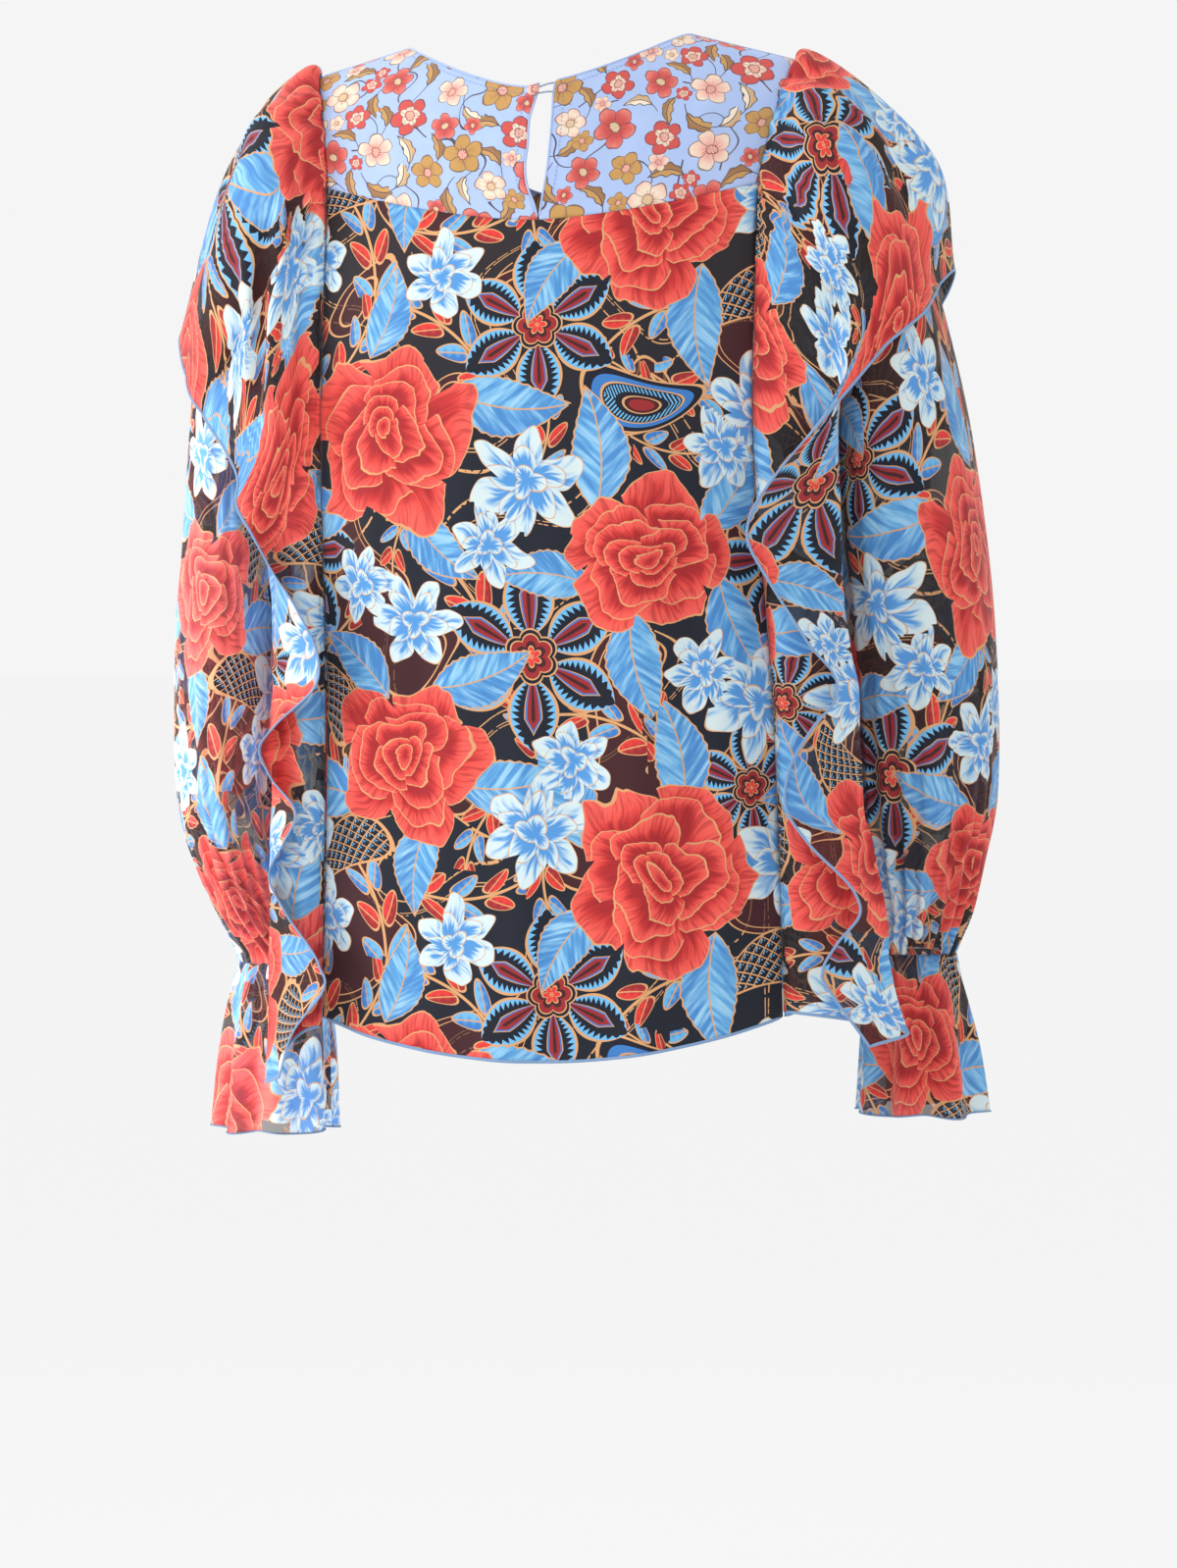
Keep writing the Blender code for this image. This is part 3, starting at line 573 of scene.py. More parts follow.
# painted light: the colour made brighter and a little paler, standing in for more light falling on and
# through the cloth
def withPaintedLight(colour, paintedLightGain):
    node = colour.tree.nodes.new("ShaderNodeHueSaturation")
    node.inputs["Saturation"].default_value = 1.1 - paintedLightGain * 0.1
    node.inputs["Value"].default_value = paintedLightGain
    plug(node.inputs["Color"], colour)
    return Field(colour.tree, node.outputs[0])


def joined(x, y, z):
    node = x.tree.nodes.new("ShaderNodeCombineXYZ")
    for socket, value in zip(node.inputs, (x, y, z)):
        plug(socket, value)
    return Field(x.tree, node.outputs[0])


def parts(field):
    node = field.tree.nodes.new("ShaderNodeSeparateXYZ")
    plug(node.inputs[0], field)
    return [Field(field.tree, socket) for socket in node.outputs]


def noise(where, scale, detail=1.0, wanted="Fac"):
    node = where.tree.nodes.new("ShaderNodeTexNoise")
    node.inputs["Scale"].default_value = scale
    node.inputs["Detail"].default_value = detail
    plug(node.inputs["Vector"], where)
    return Field(where.tree, node.outputs[wanted])


def bands(field, stops):  # colours in steps: each one starts at its place
    node = field.tree.nodes.new("ShaderNodeValToRGB")
    ramp = node.color_ramp
    ramp.interpolation = "CONSTANT"
    while len(ramp.elements) < len(stops):
        ramp.elements.new(0.5)
    for element, (start, colour) in zip(ramp.elements, stops):
        element.position = start
        element.color = colour
    plug(node.inputs[0], field)
    return Field(field.tree, node.outputs[0])


def motif(tree, name):  # where a point lies in its nearest motif: from its centre, in its radii, and its seed
    node = tree.nodes.new("ShaderNodeAttribute")
    node.attribute_name = name
    return Field(tree, node.outputs["Vector"])


def cutPlace(tree):
    node = tree.nodes.new("ShaderNodeUVMap")
    node.uv_map = "cut"
    return Field(tree, node.outputs[0])


def polar(x, y):
    return (x * x + y * y).root(), y.sum("ARCTAN2", x) / (2 * math.pi)


def pushed(spot, scale, detail, amount):  # a motif's coordinates, moved by noise so that its outline wanders
    x, y, seed = parts(spot)
    pushX, pushY, _ = parts(noise(spot, scale, detail, "Color"))
    return x + pushX * amount - amount / 2, y + pushY * amount - amount / 2, seed


def offPetal(around):  # 0 along the middle of each petal, 1 between two
    return abs(around.fraction() * 2 - 1)


def stacked(rings):  # each ring of petals over those before it: what they cover, their tone and outlines
    covered, tone, drawn = rings[0]
    line = drawn * covered
    for inside, shade, drawn in rings[1:]:
        tone = tone + (shade - tone) * inside
        line = (line * (1 - inside)) | (drawn * inside)
    return covered, tone, line


inks = {
    "roseLight": tint(248, 104, 92),
    "rose": tint(228, 62, 58),
    "roseDark": tint(160, 34, 40),
    "gold": tint(222, 165, 114),
    "leaf": tint(112, 183, 230),
    "leafPale": tint(170, 213, 240),
    "leafDeep": tint(62, 124, 196),
    "blossom": tint(216, 232, 234),
    "blossomBlue": tint(86, 153, 219),
    "maroon": tint(158, 44, 48),
    "wine": tint(72, 30, 34),
    "navy": tint(24, 28, 42),
    "hatch": tint(116, 188, 236),
}


def inkBands(field, stops):  # the stops: each ink after the place where it starts
    words = stops.split()
    return bands(field, [(float(start), inks[name]) for start, name in zip(words[::2], words[1::2])])


def rose(spot):
    x, y, seed = pushed(spot, 1.5, 0.8, 0.62)
    reach, turn = polar(x, y)
    streak = noise(joined(turn * 30, reach * 1.4, seed), 1.6, 2.0)
    ruffle = noise(joined(turn * 19, reach * 0.8, seed), 1.0, 1.5)
    stroke = noise(joined(turn * 95, reach * 2.2, seed), 1.7, 2.0)
    petals = [  # reach of each ring, petals in it, its turn and how deeply they are cut
        (1.00, 5, 0.10, 0.8),
        (0.80, 4, 0.45, 1.0),
        (0.62, 3, 0.05, 1.1),
        (0.43, 3, 0.30, 1.1),
        (0.26, 2, 0.75, 1.0),
        (0.12, 2, 0.20, 0.8),
    ]
    rings = []
    for ring, (edge, count, turned, cut) in enumerate(petals):
        along = (turn.times(count, turned) + seed * 0.37).fraction()
        rim = ((along - 0.42) ** 2 * -cut + 1 + (ruffle - 0.5) * 0.24) * edge
        inner = rim - reach
        shade = ((inner * (2.4 + ring)) * (streak * 1.5 + 0.25)).atMost(1.0)
        rings.append((inner > 0, shade, inner.near(0.006, 0.009)))
    covered, tone, line = stacked(rings)
    colour = mixed((tone * 1.7).atMost(1.0), inks["roseLight"], inks["rose"])
    colour = mixed((tone * 2.2 - 0.95 + streak * 0.4).capped() * 0.85, colour, inks["roseDark"])
    colour = mixed((stroke * 7 - 3.6 + tone * 0.8).capped() * 0.55, colour, inks["roseDark"])
    return mixed(line * 0.95, colour, inks["gold"]), covered


def leaf(spot):
    x, y, seed = parts(spot)
    y = y + (x * x - 0.4) * 0.18
    side = abs(y)
    ragged = (x * 6 + seed).sum("PINGPONG", 0.5)
    width = (1 - x * x) * (x * -0.34 + 1) * (ragged * 0.06 + 0.45)
    inner = width - side
    streak = noise(joined((x - side) * 5, y * 1.2, seed), 1.7, 3.0)
    colour = mixed((streak * 4 - 1.9).capped() * 0.9, inks["leaf"], inks["leafPale"])
    shaded = (0.60 - streak) * 4 + (y > 0) * 0.35 - inner * 0.4
    colour = mixed(shaded.capped() * 0.8, colour, inks["leafDeep"])
    return mixed((inner < 0.028) | (side < 0.013), colour, inks["gold"]), inner > 0


def blossom(spot):
    x, y, seed = pushed(spot, 1.3, 1.0, 0.44)
    reach, turn = polar(x, y)
    streak = noise(joined(turn * 34, reach * 1.3, seed), 1.5, 1.5)
    rings = []
    for ring, (edge, count, turned) in enumerate([(1.0, 6, 0.0), (0.70, 5, 0.3), (0.34, 3, 0.6)]):
        off = offPetal(turn.times(count, turned) + seed * 0.21)
        inner = (1 - off**1.5 * 0.48) * edge - reach
        shade = inner * (1.5 + 1.6 * ring) + off * 0.25 + streak * 2.0
        rings.append((inner > 0, shade, inner.near(0.0, 0.022)))
    covered, tone, line = stacked(rings)
    colour = mixed((tone * 1.2 - 1.35).capped(), inks["blossom"], inks["leafPale"])
    colour = mixed((tone * 2.6 - 3.6).capped(), colour, inks["blossomBlue"])
    return mixed(line * 0.9, colour, inks["gold"]), covered


def medallion(spot):  # a stylised flower: pointed petals with toothed edges round a lobed middle
    x, y, seed = parts(spot)
    reach, turn = polar(x, y)
    off = offPetal(turn.times(6, 0.0) + seed * 0.3)
    along = ((reach - 0.22) / 0.78).atLeast(0.0)
    belly = along.root() * (1 - along).atLeast(0.0) * 2.55 + 0.0001
    nested = off / belly
    toothed = nested > (reach * 17 + off * 2).fraction() * 0.30 + 0.52
    petals = "0 wine  0.035 maroon  0.11 leafDeep  0.145 gold  0.165 navy"
    colour = inkBands(nested * 0.5 + (reach - 0.66).atLeast(0.0), petals)
    colour = mixed(toothed, colour, inks["hatch"])
    colour = mixed(nested > 0.86, colour, inks["gold"])
    lobes = offPetal(turn.times(6, 0.0) + seed * 0.1)
    rings = reach * 2 + lobes * lobes * 0.12
    eye = "0 gold  0.07 rose  0.20 gold  0.235 wine  0.33 maroon  0.46 gold  0.49 navy  0.56 gold"
    hub = rings < 0.60
    return mixed(hub, colour, inkBands(rings, eye)), (nested < 0.98) * (reach < 0.99) | hub


def spray(spot):  # a stem with pairs of small leaves, blue and red by turns
    x, y, seed = parts(spot)
    y = y + (x * x - 0.3) * 0.25
    side = abs(y)
    across = side * 3.0 / (1 - x * 0.3) - 0.58
    pair = x * 1.9 - side * 1.2 + seed * 0.5
    along = pair.fraction() - 0.5
    long = along * 0.40 + across * 0.92
    wide = along * 0.92 - across * 0.40
    drop = ((long * 1.6) ** 2 + (wide * (2.5 + long * 1.7)) ** 2).root()
    odd = (pair * 0.5).fraction() > 0.5
    tone = (wide * 3.2 + (long * 23 + wide * 9).sine() * 0.22 + 0.5).capped()
    deep = mixed(odd, inks["leafDeep"], inks["maroon"])
    colour = mixed(tone, deep, mixed(odd, inks["leaf"], inks["rose"]))
    stem = (side < 0.022) * (abs(x) < 1.05)
    line = stem | (drop > 0.72) | (abs(wide) < 0.025)
    return mixed(line, colour, inks["gold"]), (drop < 0.82) * (abs(x) < 0.98) | stem


def paisley(spot):  # a bent drop, hatched in rings or scaled like a cone by its seed
    x, y, seed = parts(spot)
    y = y + (x * x - 0.3) * 0.34
    drop = ((x * x) + (y * x.times(1.0, 2.35)) ** 2).root()
    hatched = ((x * 17 + abs(y) * 11).fraction() < 0.42) * 0.5
    stops = "0 maroon  0.10 wine  0.135 gold  0.155 navy  0.31 gold  0.33 leafDeep  0.40 navy  0.465 gold"
    strokes = (hatched > 0.2) * (drop > 0.42) * (drop < 0.60)
    rings = mixed(strokes, inkBands(drop * 0.5, stops), inks["hatch"])
    one, other = (x * 4.2 + y * 5.2).fraction(), (x * 4.2 - y * 5.2).fraction()
    scale = one.atMost(other)
    cone = mixed((scale < 0.14) | (drop > 0.92), inks["navy"], inks["gold"])
    fleck = (scale > 0.26) * (one > other * 0.5 + 0.36) * hatched * 2 * (drop < 0.86)
    cone = mixed(fleck, cone, inks["hatch"])
    return mixed((seed * 0.27).fraction() > 0.5, rings, cone), drop < 1.0


chiffonRepeat = (0.34, 0.42)
roses = [  # x, y, radius, turn
    (0.070, 0.062, 0.062, 20),
    (0.234, 0.136, 0.055, 115),
    (0.072, 0.262, 0.054, 200),
    (0.240, 0.338, 0.064, 300),
]
roseLeaves = [  # round a rose: direction, how far out in radii, half length, turn off the direction
    (20, 0.98, 0.036, 25),
    (78, 0.92, 0.038, -20),
    (150, 0.95, 0.032, 15),
    (226, 0.98, 0.040, 20),
    (304, 0.93, 0.033, -20),
]
blossoms = [
    (0.150, 0.090, 0.036, 10),
    (0.126, 0.134, 0.028, 45),
    (0.326, 0.070, 0.037, 90),
    (0.300, 0.030, 0.028, 30),
    (0.004, 0.170, 0.038, 80),
    (0.040, 0.190, 0.027, 15),
    (0.148, 0.308, 0.037, 50),
    (0.172, 0.270, 0.028, 20),
    (0.334, 0.352, 0.039, 65),
    (0.020, 0.330, 0.028, 35),
    (0.226, 0.222, 0.032, 20),
    (0.262, 0.244, 0.027, 55),
    (0.202, 0.020, 0.030, 75),
]
medallions = [
    (0.150, 0.200, 0.060, 0),
    (0.322, 0.262, 0.056, 30),
    (0.140, 0.408, 0.054, 70),
    (0.010, 0.116, 0.046, 15),
]
smallCounts = {"paisley": (4, 0.031, 0.041, 0.62), "spray": (20, 0.027, 0.048, 0.58)}
spotsTried = 90
chiffonArt = {  # from the lowest to the topmost
    "spray": spray,
    "paisley": paisley,
    "medallion": medallion,
    "leaf": leaf,
    "blossom": blossom,
    "rose": rose,
}
chiffonLayers = [  # one material each, from the fullest, so that a face works out only the motifs it shows
    ("spray", "paisley", "medallion", "leaf", "blossom", "rose"),
    ("spray", "paisley", "medallion", "leaf", "blossom"),
    ("spray", "leaf", "rose"),
    ("spray", "paisley", "leaf"),
    ("spray", "blossom"),
]


def scattered(repeat, taken, counts, seed):
    # counts: how many in a repeat, their smallest and largest radius, and how near others may come.
    # Each one goes where it has most room, so they lie evenly but in no rows.
    chance = np.random.default_rng(seed)
    tile = np.array(repeat)
    placed = {}
    for name, (count, low, high, share) in counts.items():
        placed[name] = []
        for number in range(count):
            radius = high + (low - high) * number / count
            spots = chance.random((spotsTried, 2)) * tile
            room = np.full(spotsTried, 1.0)
            for x, y, held in taken:
                off = (spots - (x, y) + tile / 2) % tile - tile / 2
                room = np.minimum(room, np.linalg.norm(off, axis=1) - held)
            x, y = spots[np.argmax(room)]
            taken.append((x, y, radius * share))
            placed[name].append((x, y, radius, 360 * chance.random()))
    return placed


def chiffonMotifs():
    leaves = []
    for number, (x, y, radius, turn) in enumerate(roses):
        for direction, out, half, off in roseLeaves:
            angle = math.radians(direction + turn)
            reach = radius * out + half * 0.55
            leafX, leafY = x + reach * math.cos(angle), y + reach * math.sin(angle)
            leaves.append((leafX, leafY, half, direction + turn + off, direction * 0.3 + number))
    taken = [(x, y, radius) for x, y, radius, turn in roses]
    taken += [(x, y, radius * 0.8) for x, y, radius, turn in blossoms + medallions]
    taken += [(x, y, half * 0.5) for x, y, half, turn, seed in leaves]
    rows = scattered(chiffonRepeat, taken, smallCounts, 3)
    rows.update(medallion=medallions, blossom=blossoms, rose=roses)
    motifs = {"leaf": leaves}
    for name in rows:
        motifs[name] = [(*row, number * 3.7) for number, row in enumerate(rows[name])]
    return {name: motifs[name] for name in chiffonArt}


def chiffonGround(tree, flat, look):
    node = tree.nodes.new("ShaderNodeTexCoord")
    _, _, height = parts(Field(tree, node.outputs["Object"]))
    rising = (height.times(4.2, 0.95) + noise(flat, 9.0, 0.0) * 0.4).capped()
    colour = mixed(rising, look["low"], look["high"])
    winding = noise(flat, 11.0, 0.0)
    vine = winding.near(0.5, 0.0080) - winding.near(0.5, 0.0042)
    broken = noise(flat, 300.0, 0.0) > 0.40
    colour = mixed((vine | winding.near(0.56, 0.0030)) * broken, colour, inks["gold"])
    x, y, _ = parts(flat)
    other = noise(joined(x, y, 3.1), 17.0, 0.0)
    colour = mixed((other > 0.58) * 0.8, colour, inks["wine"])
    return mixed(other.near(0.58, 0.005) | other.near(0.63, 0.004), colour, inks["gold"])


def weave(flat, threads):  # the height of crossing threads
    x, y, _ = parts(flat)
    return (x * threads).sine() * (y * threads).sine()


def bumped(height, strength, distance):
    node = height.tree.nodes.new("ShaderNodeBump")
    node.inputs["Strength"].default_value = strength
    node.inputs["Distance"].default_value = distance
    plug(node.inputs["Height"], height)
    return Field(height.tree, node.outputs["Normal"])


def clothMaterial(name, roughness, sheen):
    return newMaterial(name, {
        "Roughness": roughness,
        "Specular IOR Level": 0.25,
        "Sheen Weight": sheen,
        "Sheen Roughness": 0.5,
    })


def chiffonMaterial(name, look, layers):
    material, surface = clothMaterial(name, 0.72, 0.12)
    tree = material.node_tree
    flat = cutPlace(tree)
    colour = chiffonGround(tree, flat, look)
    cover = 0.0
    for layer in layers:
        ink, mask = chiffonArt[layer](motif(tree, layer))
        colour = mixed(mask, colour, ink)
        cover = mask | cover
    # painted light: the lit copies of the cloth have their colours brightened
    if look["paintedLightGain"] > 1:
        colour = withPaintedLight(colour, look["paintedLightGain"])
    plug(surface.inputs["Base Color"], colour)
    if look["clearGround"]:
        solid = cover.times(look["clearGround"] - look["clearInk"], 1 - look["clearGround"])
        plug(surface.inputs["Alpha"], solid)
    plug(surface.inputs["Normal"], bumped(weave(flat, 9000.0), 0.12, 0.0002))
    return material


print("cloth tools ready")

looks = {}
for name, low, high, clearGround, clearInk, paintedLightGain in (
    # the ground's colours low and high on the piece, how clear ground and inks are, and how much painted
    # light brightens it all
    ("worn", (28, 32, 44), (50, 39, 38), 0.0, 0.0, 1.0),
    ("loose", (40, 34, 35), (44, 35, 34), 0.46, 0.16, 1.06),
    # the lit copy for the left sleeve and cuff: painted light, with a lighter ground, clearer cloth and
    # brighter colours
    ("bright", (58, 46, 44), (50, 38, 36), 0.62, 0.24, 1.7),
    # the right flounce's copy: painted shade, its ground a little darker and the cloth less clear than the
    # loose look's
    ("frill", (38, 33, 36), (42, 34, 34), 0.34, 0.12, 1.06),
    # the lit copy for the left flounce: painted light, brighter than the right flounce's
    ("brightFrill", (40, 33, 34), (42, 34, 34), 0.42, 0.16, 1.18),
):
    looks[name] = {
        "low": tint(*low),
        "high": tint(*high),
        "clearGround": clearGround,
        "clearInk": clearInk,
        "paintedLightGain": paintedLightGain,
    }
chiffon = {
    "slot": "chiffon",
    "thickness": 0.0004,
    "repeat": chiffonRepeat,
    "motifs": chiffonMotifs(),
    "layers": chiffonLayers,
    "materials": {},
}
for name, look in looks.items():
    title = "chiffon" + name.capitalize()
    chiffon["materials"][name] = [
        chiffonMaterial(f"{title}{number}", look, layers) for number, layers in enumerate(chiffonLayers)
    ]

small = {
    "ground": tint(187, 207, 247),
    "groundDeep": tint(170, 194, 238),
    "red": tint(216, 76, 56),
    "redPale": tint(240, 132, 112),
    "redDark": tint(160, 42, 38),
    "pink": tint(250, 196, 176),
    "cream": tint(250, 232, 204),
    "ochre": tint(206, 154, 72),
    "ochreDark": tint(148, 98, 42),
    "line": tint(84, 62, 66),
}
posyColours = [  # of the petals, their rims, their roots and the middle, for each kind
    "red ochre pink red cream",
    "redPale ochre cream red pink",
    "redDark ochreDark red redDark red",
    "ochre red red red ochre",
]


def posy(spot):  # a small flower, its kind by the whole part of its seed
    x, y, seed = pushed(spot, 1.6, 1.0, 0.34)
    reach, turn = polar(x, y)
    streak = noise(joined(turn * 22, reach * 1.2, seed), 1.5, 1.0)
    off = offPetal(turn * 5 + seed * 0.31)
    inner = 1 - off**2.2 * 0.34 - reach
    kind = seed * 0.2
    petal, rim, deep, eye = (
        bands(kind, [(max(place * 0.2 - 0.01, 0), small[name]) for place, name in enumerate(names.split())])
        for names in posyColours
    )
    colour = mixed(((reach - 0.5) * 2.2 + streak - 0.5).capped() * 0.9, petal, rim)
    colour = mixed(((0.66 - reach) * 1.5 + streak * 1.8 - 1.1).capped() * 0.85, colour, deep)
    second = 0.56 - offPetal(turn * 5 + seed * 0.31 + 0.5) ** 2 * 0.2 - reach
    doubled = (kind > 0.59) * (kind < 0.79)
    blush = mixed((streak * 2.4 - 0.9).capped(), small["cream"], small["redPale"])
    colour = mixed((second > 0) * doubled, colour, blush)
    dotted = (reach * 14).sine() * (turn * 75).sine() > 0.1
    colour = mixed(reach < 0.24, colour, mixed(dotted, eye, small["cream"]))
    line = inner.near(0.0, 0.035) | ((off > 0.95) * (reach > 0.28)) | (second.near(0.0, 0.02) * doubled)
    return mixed((line + reach.near(0.25, 0.02)).capped() * 0.8, colour, small["line"]), inner > -0.03


def leaflet(spot):  # a curling ochre leaf on a thin stem
    x, y, seed = parts(spot)
    y = y + (x * x - 0.35) * 0.55
    side = abs(y)
    blade = x * 1.35 - 0.33
    lobed = (x * 13 + seed).sine()
    inner = (1 - blade * blade) * (lobed * 0.05 + 0.28) - side
    pale = (seed * 0.25).fraction() > 0.7
    fill = mixed(pale, small["ochre"], small["cream"])
    colour = mixed((y * 7 + 0.3).capped() * 0.8, fill, mixed(pale, small["ochreDark"], small["ochre"]))
    stem = (side < 0.026) * (x > -1.5) * (x < 0.95)
    line = inner.near(0.0, 0.03) | ((side < 0.02) * (x < 0.6)) | stem
    return mixed(line, colour, small["line"]), (inner > -0.02) | stem


voileRepeat = (0.172, 0.134)
voileCounts = {
    "posy": (20, 0.0098, 0.0150, 1.0),
    "leaflet": (20, 0.0130, 0.0170, 0.5),
    "bud": (12, 0.0055, 0.0078, 0.8),
}
voileKinds = (0, 3, 1, 2, 0, 1, 4, 0, 2, 3)
voileArt = {"leaflet": leaflet, "bud": posy, "posy": posy}  # from the lowest to the topmost


def voileMotifs():
    placed = scattered(voileRepeat, [], voileCounts, 5)
    motifs = {"leaflet": [(*row, number) for number, row in enumerate(placed["leaflet"])]}
    for name in ("bud", "posy"):
        motifs[name] = [(*row, kind) for row, kind in zip(placed[name], voileKinds * 2)]
    return motifs


def voileMaterial():
    material, surface = clothMaterial("voile", 0.8, 0.1)
    tree = material.node_tree
    flat = cutPlace(tree)
    colour = mixed(noise(flat, 40.0, 1.0), small["ground"], small["groundDeep"])
    winding = noise(flat, 34.0, 0.0)
    colour = mixed(winding.near(0.47, 0.010) * (noise(flat, 21.0, 0.0) > 0.48), colour, small["line"])
    for name, art in voileArt.items():
        ink, mask = art(motif(tree, name))
        colour = mixed(mask, colour, ink)
    slub = noise(flat, 900.0, 0.0)
    plug(surface.inputs["Base Color"], mixed(slub * 0.12, colour, small["groundDeep"]))
    plug(surface.inputs["Normal"], bumped(weave(flat, 7000.0) + slub, 0.25, 0.0003))
    return material


voile = {
    "slot": "voile",
    "thickness": 0.0006,
    "repeat": voileRepeat,
    "motifs": voileMotifs(),
    "layers": [tuple(voileArt)],
    "materials": {"worn": [voileMaterial()]},
}


def threadMaterial(name, colour, pale, pitch):
    material, surface = clothMaterial(name, 0.65, 0.2)
    x, y, _ = parts(cutPlace(material.node_tree))
    # each turn of the thread bulges in the bump and is painted paler on its crest: a painted highlight
    bulgeAndHighlight = (((x + y) / pitch).fraction() - 0.5) ** 2 * -4 + 1
    plug(surface.inputs["Base Color"], mixed(bulgeAndHighlight * 0.8, colour, pale))
    plug(surface.inputs["Normal"], bumped(bulgeAndHighlight, 0.6, 0.0003))
    return material


# the second colour of each thread is its painted highlight
edging = threadMaterial("edging", tint(104, 138, 184), tint(150, 182, 222), 0.0011)
rolled = threadMaterial("rolledVoile", small["groundDeep"], small["ground"], 0.0009)
sewing = threadMaterial("sewing", tint(126, 156, 208), tint(160, 188, 230), 0.0006)
looped = threadMaterial("looped", tint(112, 132, 168), tint(204, 214, 230), 0.0011)
print("materials made")


# Yoke: two halves behind, one piece in front

yoke = {
    "neckHalf": 0.092,
    "neckCentre": 0.004,
    "neckDrop": (0.115, 0.060),  # front, back
    "neckPower": (2.0, 1.3),
    "seam": (-0.118, -0.1138),
    "seamRise": 0.025,
    "seamHalf": 0.14,
    "seamPower": 1.6,
    "centreBack": -0.005,
    "columns": 60,
    "rows": 44,
    "fine": (200, 120),  # columns and rows that the rolls and stitches follow
    "frontFine": (420, 40),
    "cut": {
        "back_yoke_left": (0.02, 0.09, 8),
        "back_yoke_right": (0.13, 0.05, -6),
        "front_yoke": (0.05, 0.02, 0),
    },
    "edgeStitch": 0.0046,
    "stitchEnds": 0.004,
    "keyholeStitch": 0.0062,
    "keyholeRows": slice(8, 108),  # those of the fine rows that are stitched
}
keyhole = table(
    "down left right",
    (0.00, 0.0045, 0.0055),
    (0.10, 0.0060, 0.0048),
    (0.22, 0.0088, 0.0050),
    (0.45, 0.0092, 0.0048),
    (0.62, 0.0100, 0.0042),
    (0.76, 0.0078, 0.0028),
    (0.90, 0.0028, 0.0012),
    (1.00, 0.0005, 0.0005),
)


def neckOrShoulder(x, back):
    share = np.minimum(np.abs(x - yoke["neckCentre"]) / yoke["neckHalf"], 1)
    return shoulderLine(x) - yoke["neckDrop"][back] * (1 - share ** yoke["neckPower"][back])


def yokeSeam(x, back):
    return yoke["seam"][back] + yoke["seamRise"] * (np.abs(x) / yoke["seamHalf"]) ** yoke["seamPower"]


def yokeHalf(side, columns, rows, inset=0.0, under=0.0):
    # inset and under start the piece that far from the keyhole's and the neck's edges
    across, down = spread(columns, rows)
    edgeZ = shoulderLine(side * form["shoulderTip"]) * (1 - down) + yokeSeam(yoke["seamHalf"], 1) * down
    outer = seamX(edgeZ, side, -form["flounceSeamGap"])
    inner = yoke["centreBack"] + side * (smooth(keyhole, "down", hands[side], down) + inset)
    x = inner + (outer - inner) * across
    top = neckOrShoulder(x, 1) - under
    return onBody(x, top + (yokeSeam(x, 1) + form["plainSeamGap"] - top) * down)


def frontYoke(columns, rows, under=0.0):
    across, down = spread(columns, rows, -1)
    tip = shoulderLine(np.sign(across) * form["shoulderTip"])
    edgeZ = tip * (1 - down) + yokeSeam(yoke["seamHalf"], 0) * down
    x = seamX(edgeZ, 1, -form["flounceSeamGap"]) * across
    top = neckOrShoulder(x, 0) - under
    return onBody(x, top + (yokeSeam(x, 0) + form["plainSeamGap"] - top) * down, back=False)


def frontNeck(under):  # the line that far below the front neck's edge, and the way out of the cloth
    fine = frontYoke(*yoke["frontFine"], under)
    inNeck = np.abs(fine[0, :, 0] - yoke["neckCentre"]) < yoke["neckHalf"] - under
    return fine[0, inNeck], -normalsOf(fine)[0, inNeck]


yokeCreases = [
    (0.060, -0.040, 0.052, -0.070, 0.048, -0.108, 0.010, 0.0008),
    (0.100, -0.030, 0.104, -0.062, 0.098, -0.092, 0.012, -0.0010),
    (0.022, -0.060, 0.024, -0.085, 0.020, -0.110, 0.006, 0.0006),
    (-0.062, -0.040, -0.052, -0.068, -0.052, -0.106, 0.011, -0.0009),
    (-0.112, -0.022, -0.104, -0.056, -0.108, -0.088, 0.010, 0.0010),
    (-0.020, -0.064, -0.024, -0.088, -0.018, -0.110, 0.007, 0.0006),
]
for side, hand in hands.items():
    node = "back_yoke_" + hand
    half = creased(yokeHalf(side, yoke["columns"], yoke["rows"]), yokeCreases)
    addCloth(node, half, laidFlat(half, 0.3, -1) * (side, 1), yoke["cut"][node], voile, flipped=side < 0)
    fine = yokeHalf(side, *yoke["fine"])
    out = normalsOf(fine) * side
    addRope(f"neckRoll-{hand}", fine[0, ::2], out[0, ::2], thread["neckRoll"], rolled)
    addRope(f"keyholeRoll-{hand}", fine[::2, 0], out[::2, 0], thread["keyholeRoll"], rolled)
    seam = yokeHalf(side, *yoke["fine"], under=yoke["edgeStitch"])[0]
    seam = seam[np.abs(seam[:, 0] - yoke["neckCentre"]) < yoke["neckHalf"] - yoke["stitchEnds"]]
    addStitches(f"neckStitches-{hand}", seam, out[0, : len(seam)])
    stitched = yoke["keyholeRows"]
    seam = yokeHalf(side, *yoke["fine"], inset=yoke["keyholeStitch"])[stitched, 0]
    addStitches(f"keyholeStitches-{hand}", seam, out[stitched, 0])
front = frontYoke(110, 30)
addCloth("front_yoke", front, laidFlat(front, anchor=-1), yoke["cut"]["front_yoke"], voile, flipped=True)
addRope("neckRoll-front", *frontNeck(0.0), thread["neckRoll"], rolled)
addStitches("neckStitches-front", *frontNeck(yoke["edgeStitch"]))
print("yoke sewn")


# Back and front below the yoke, and the sides

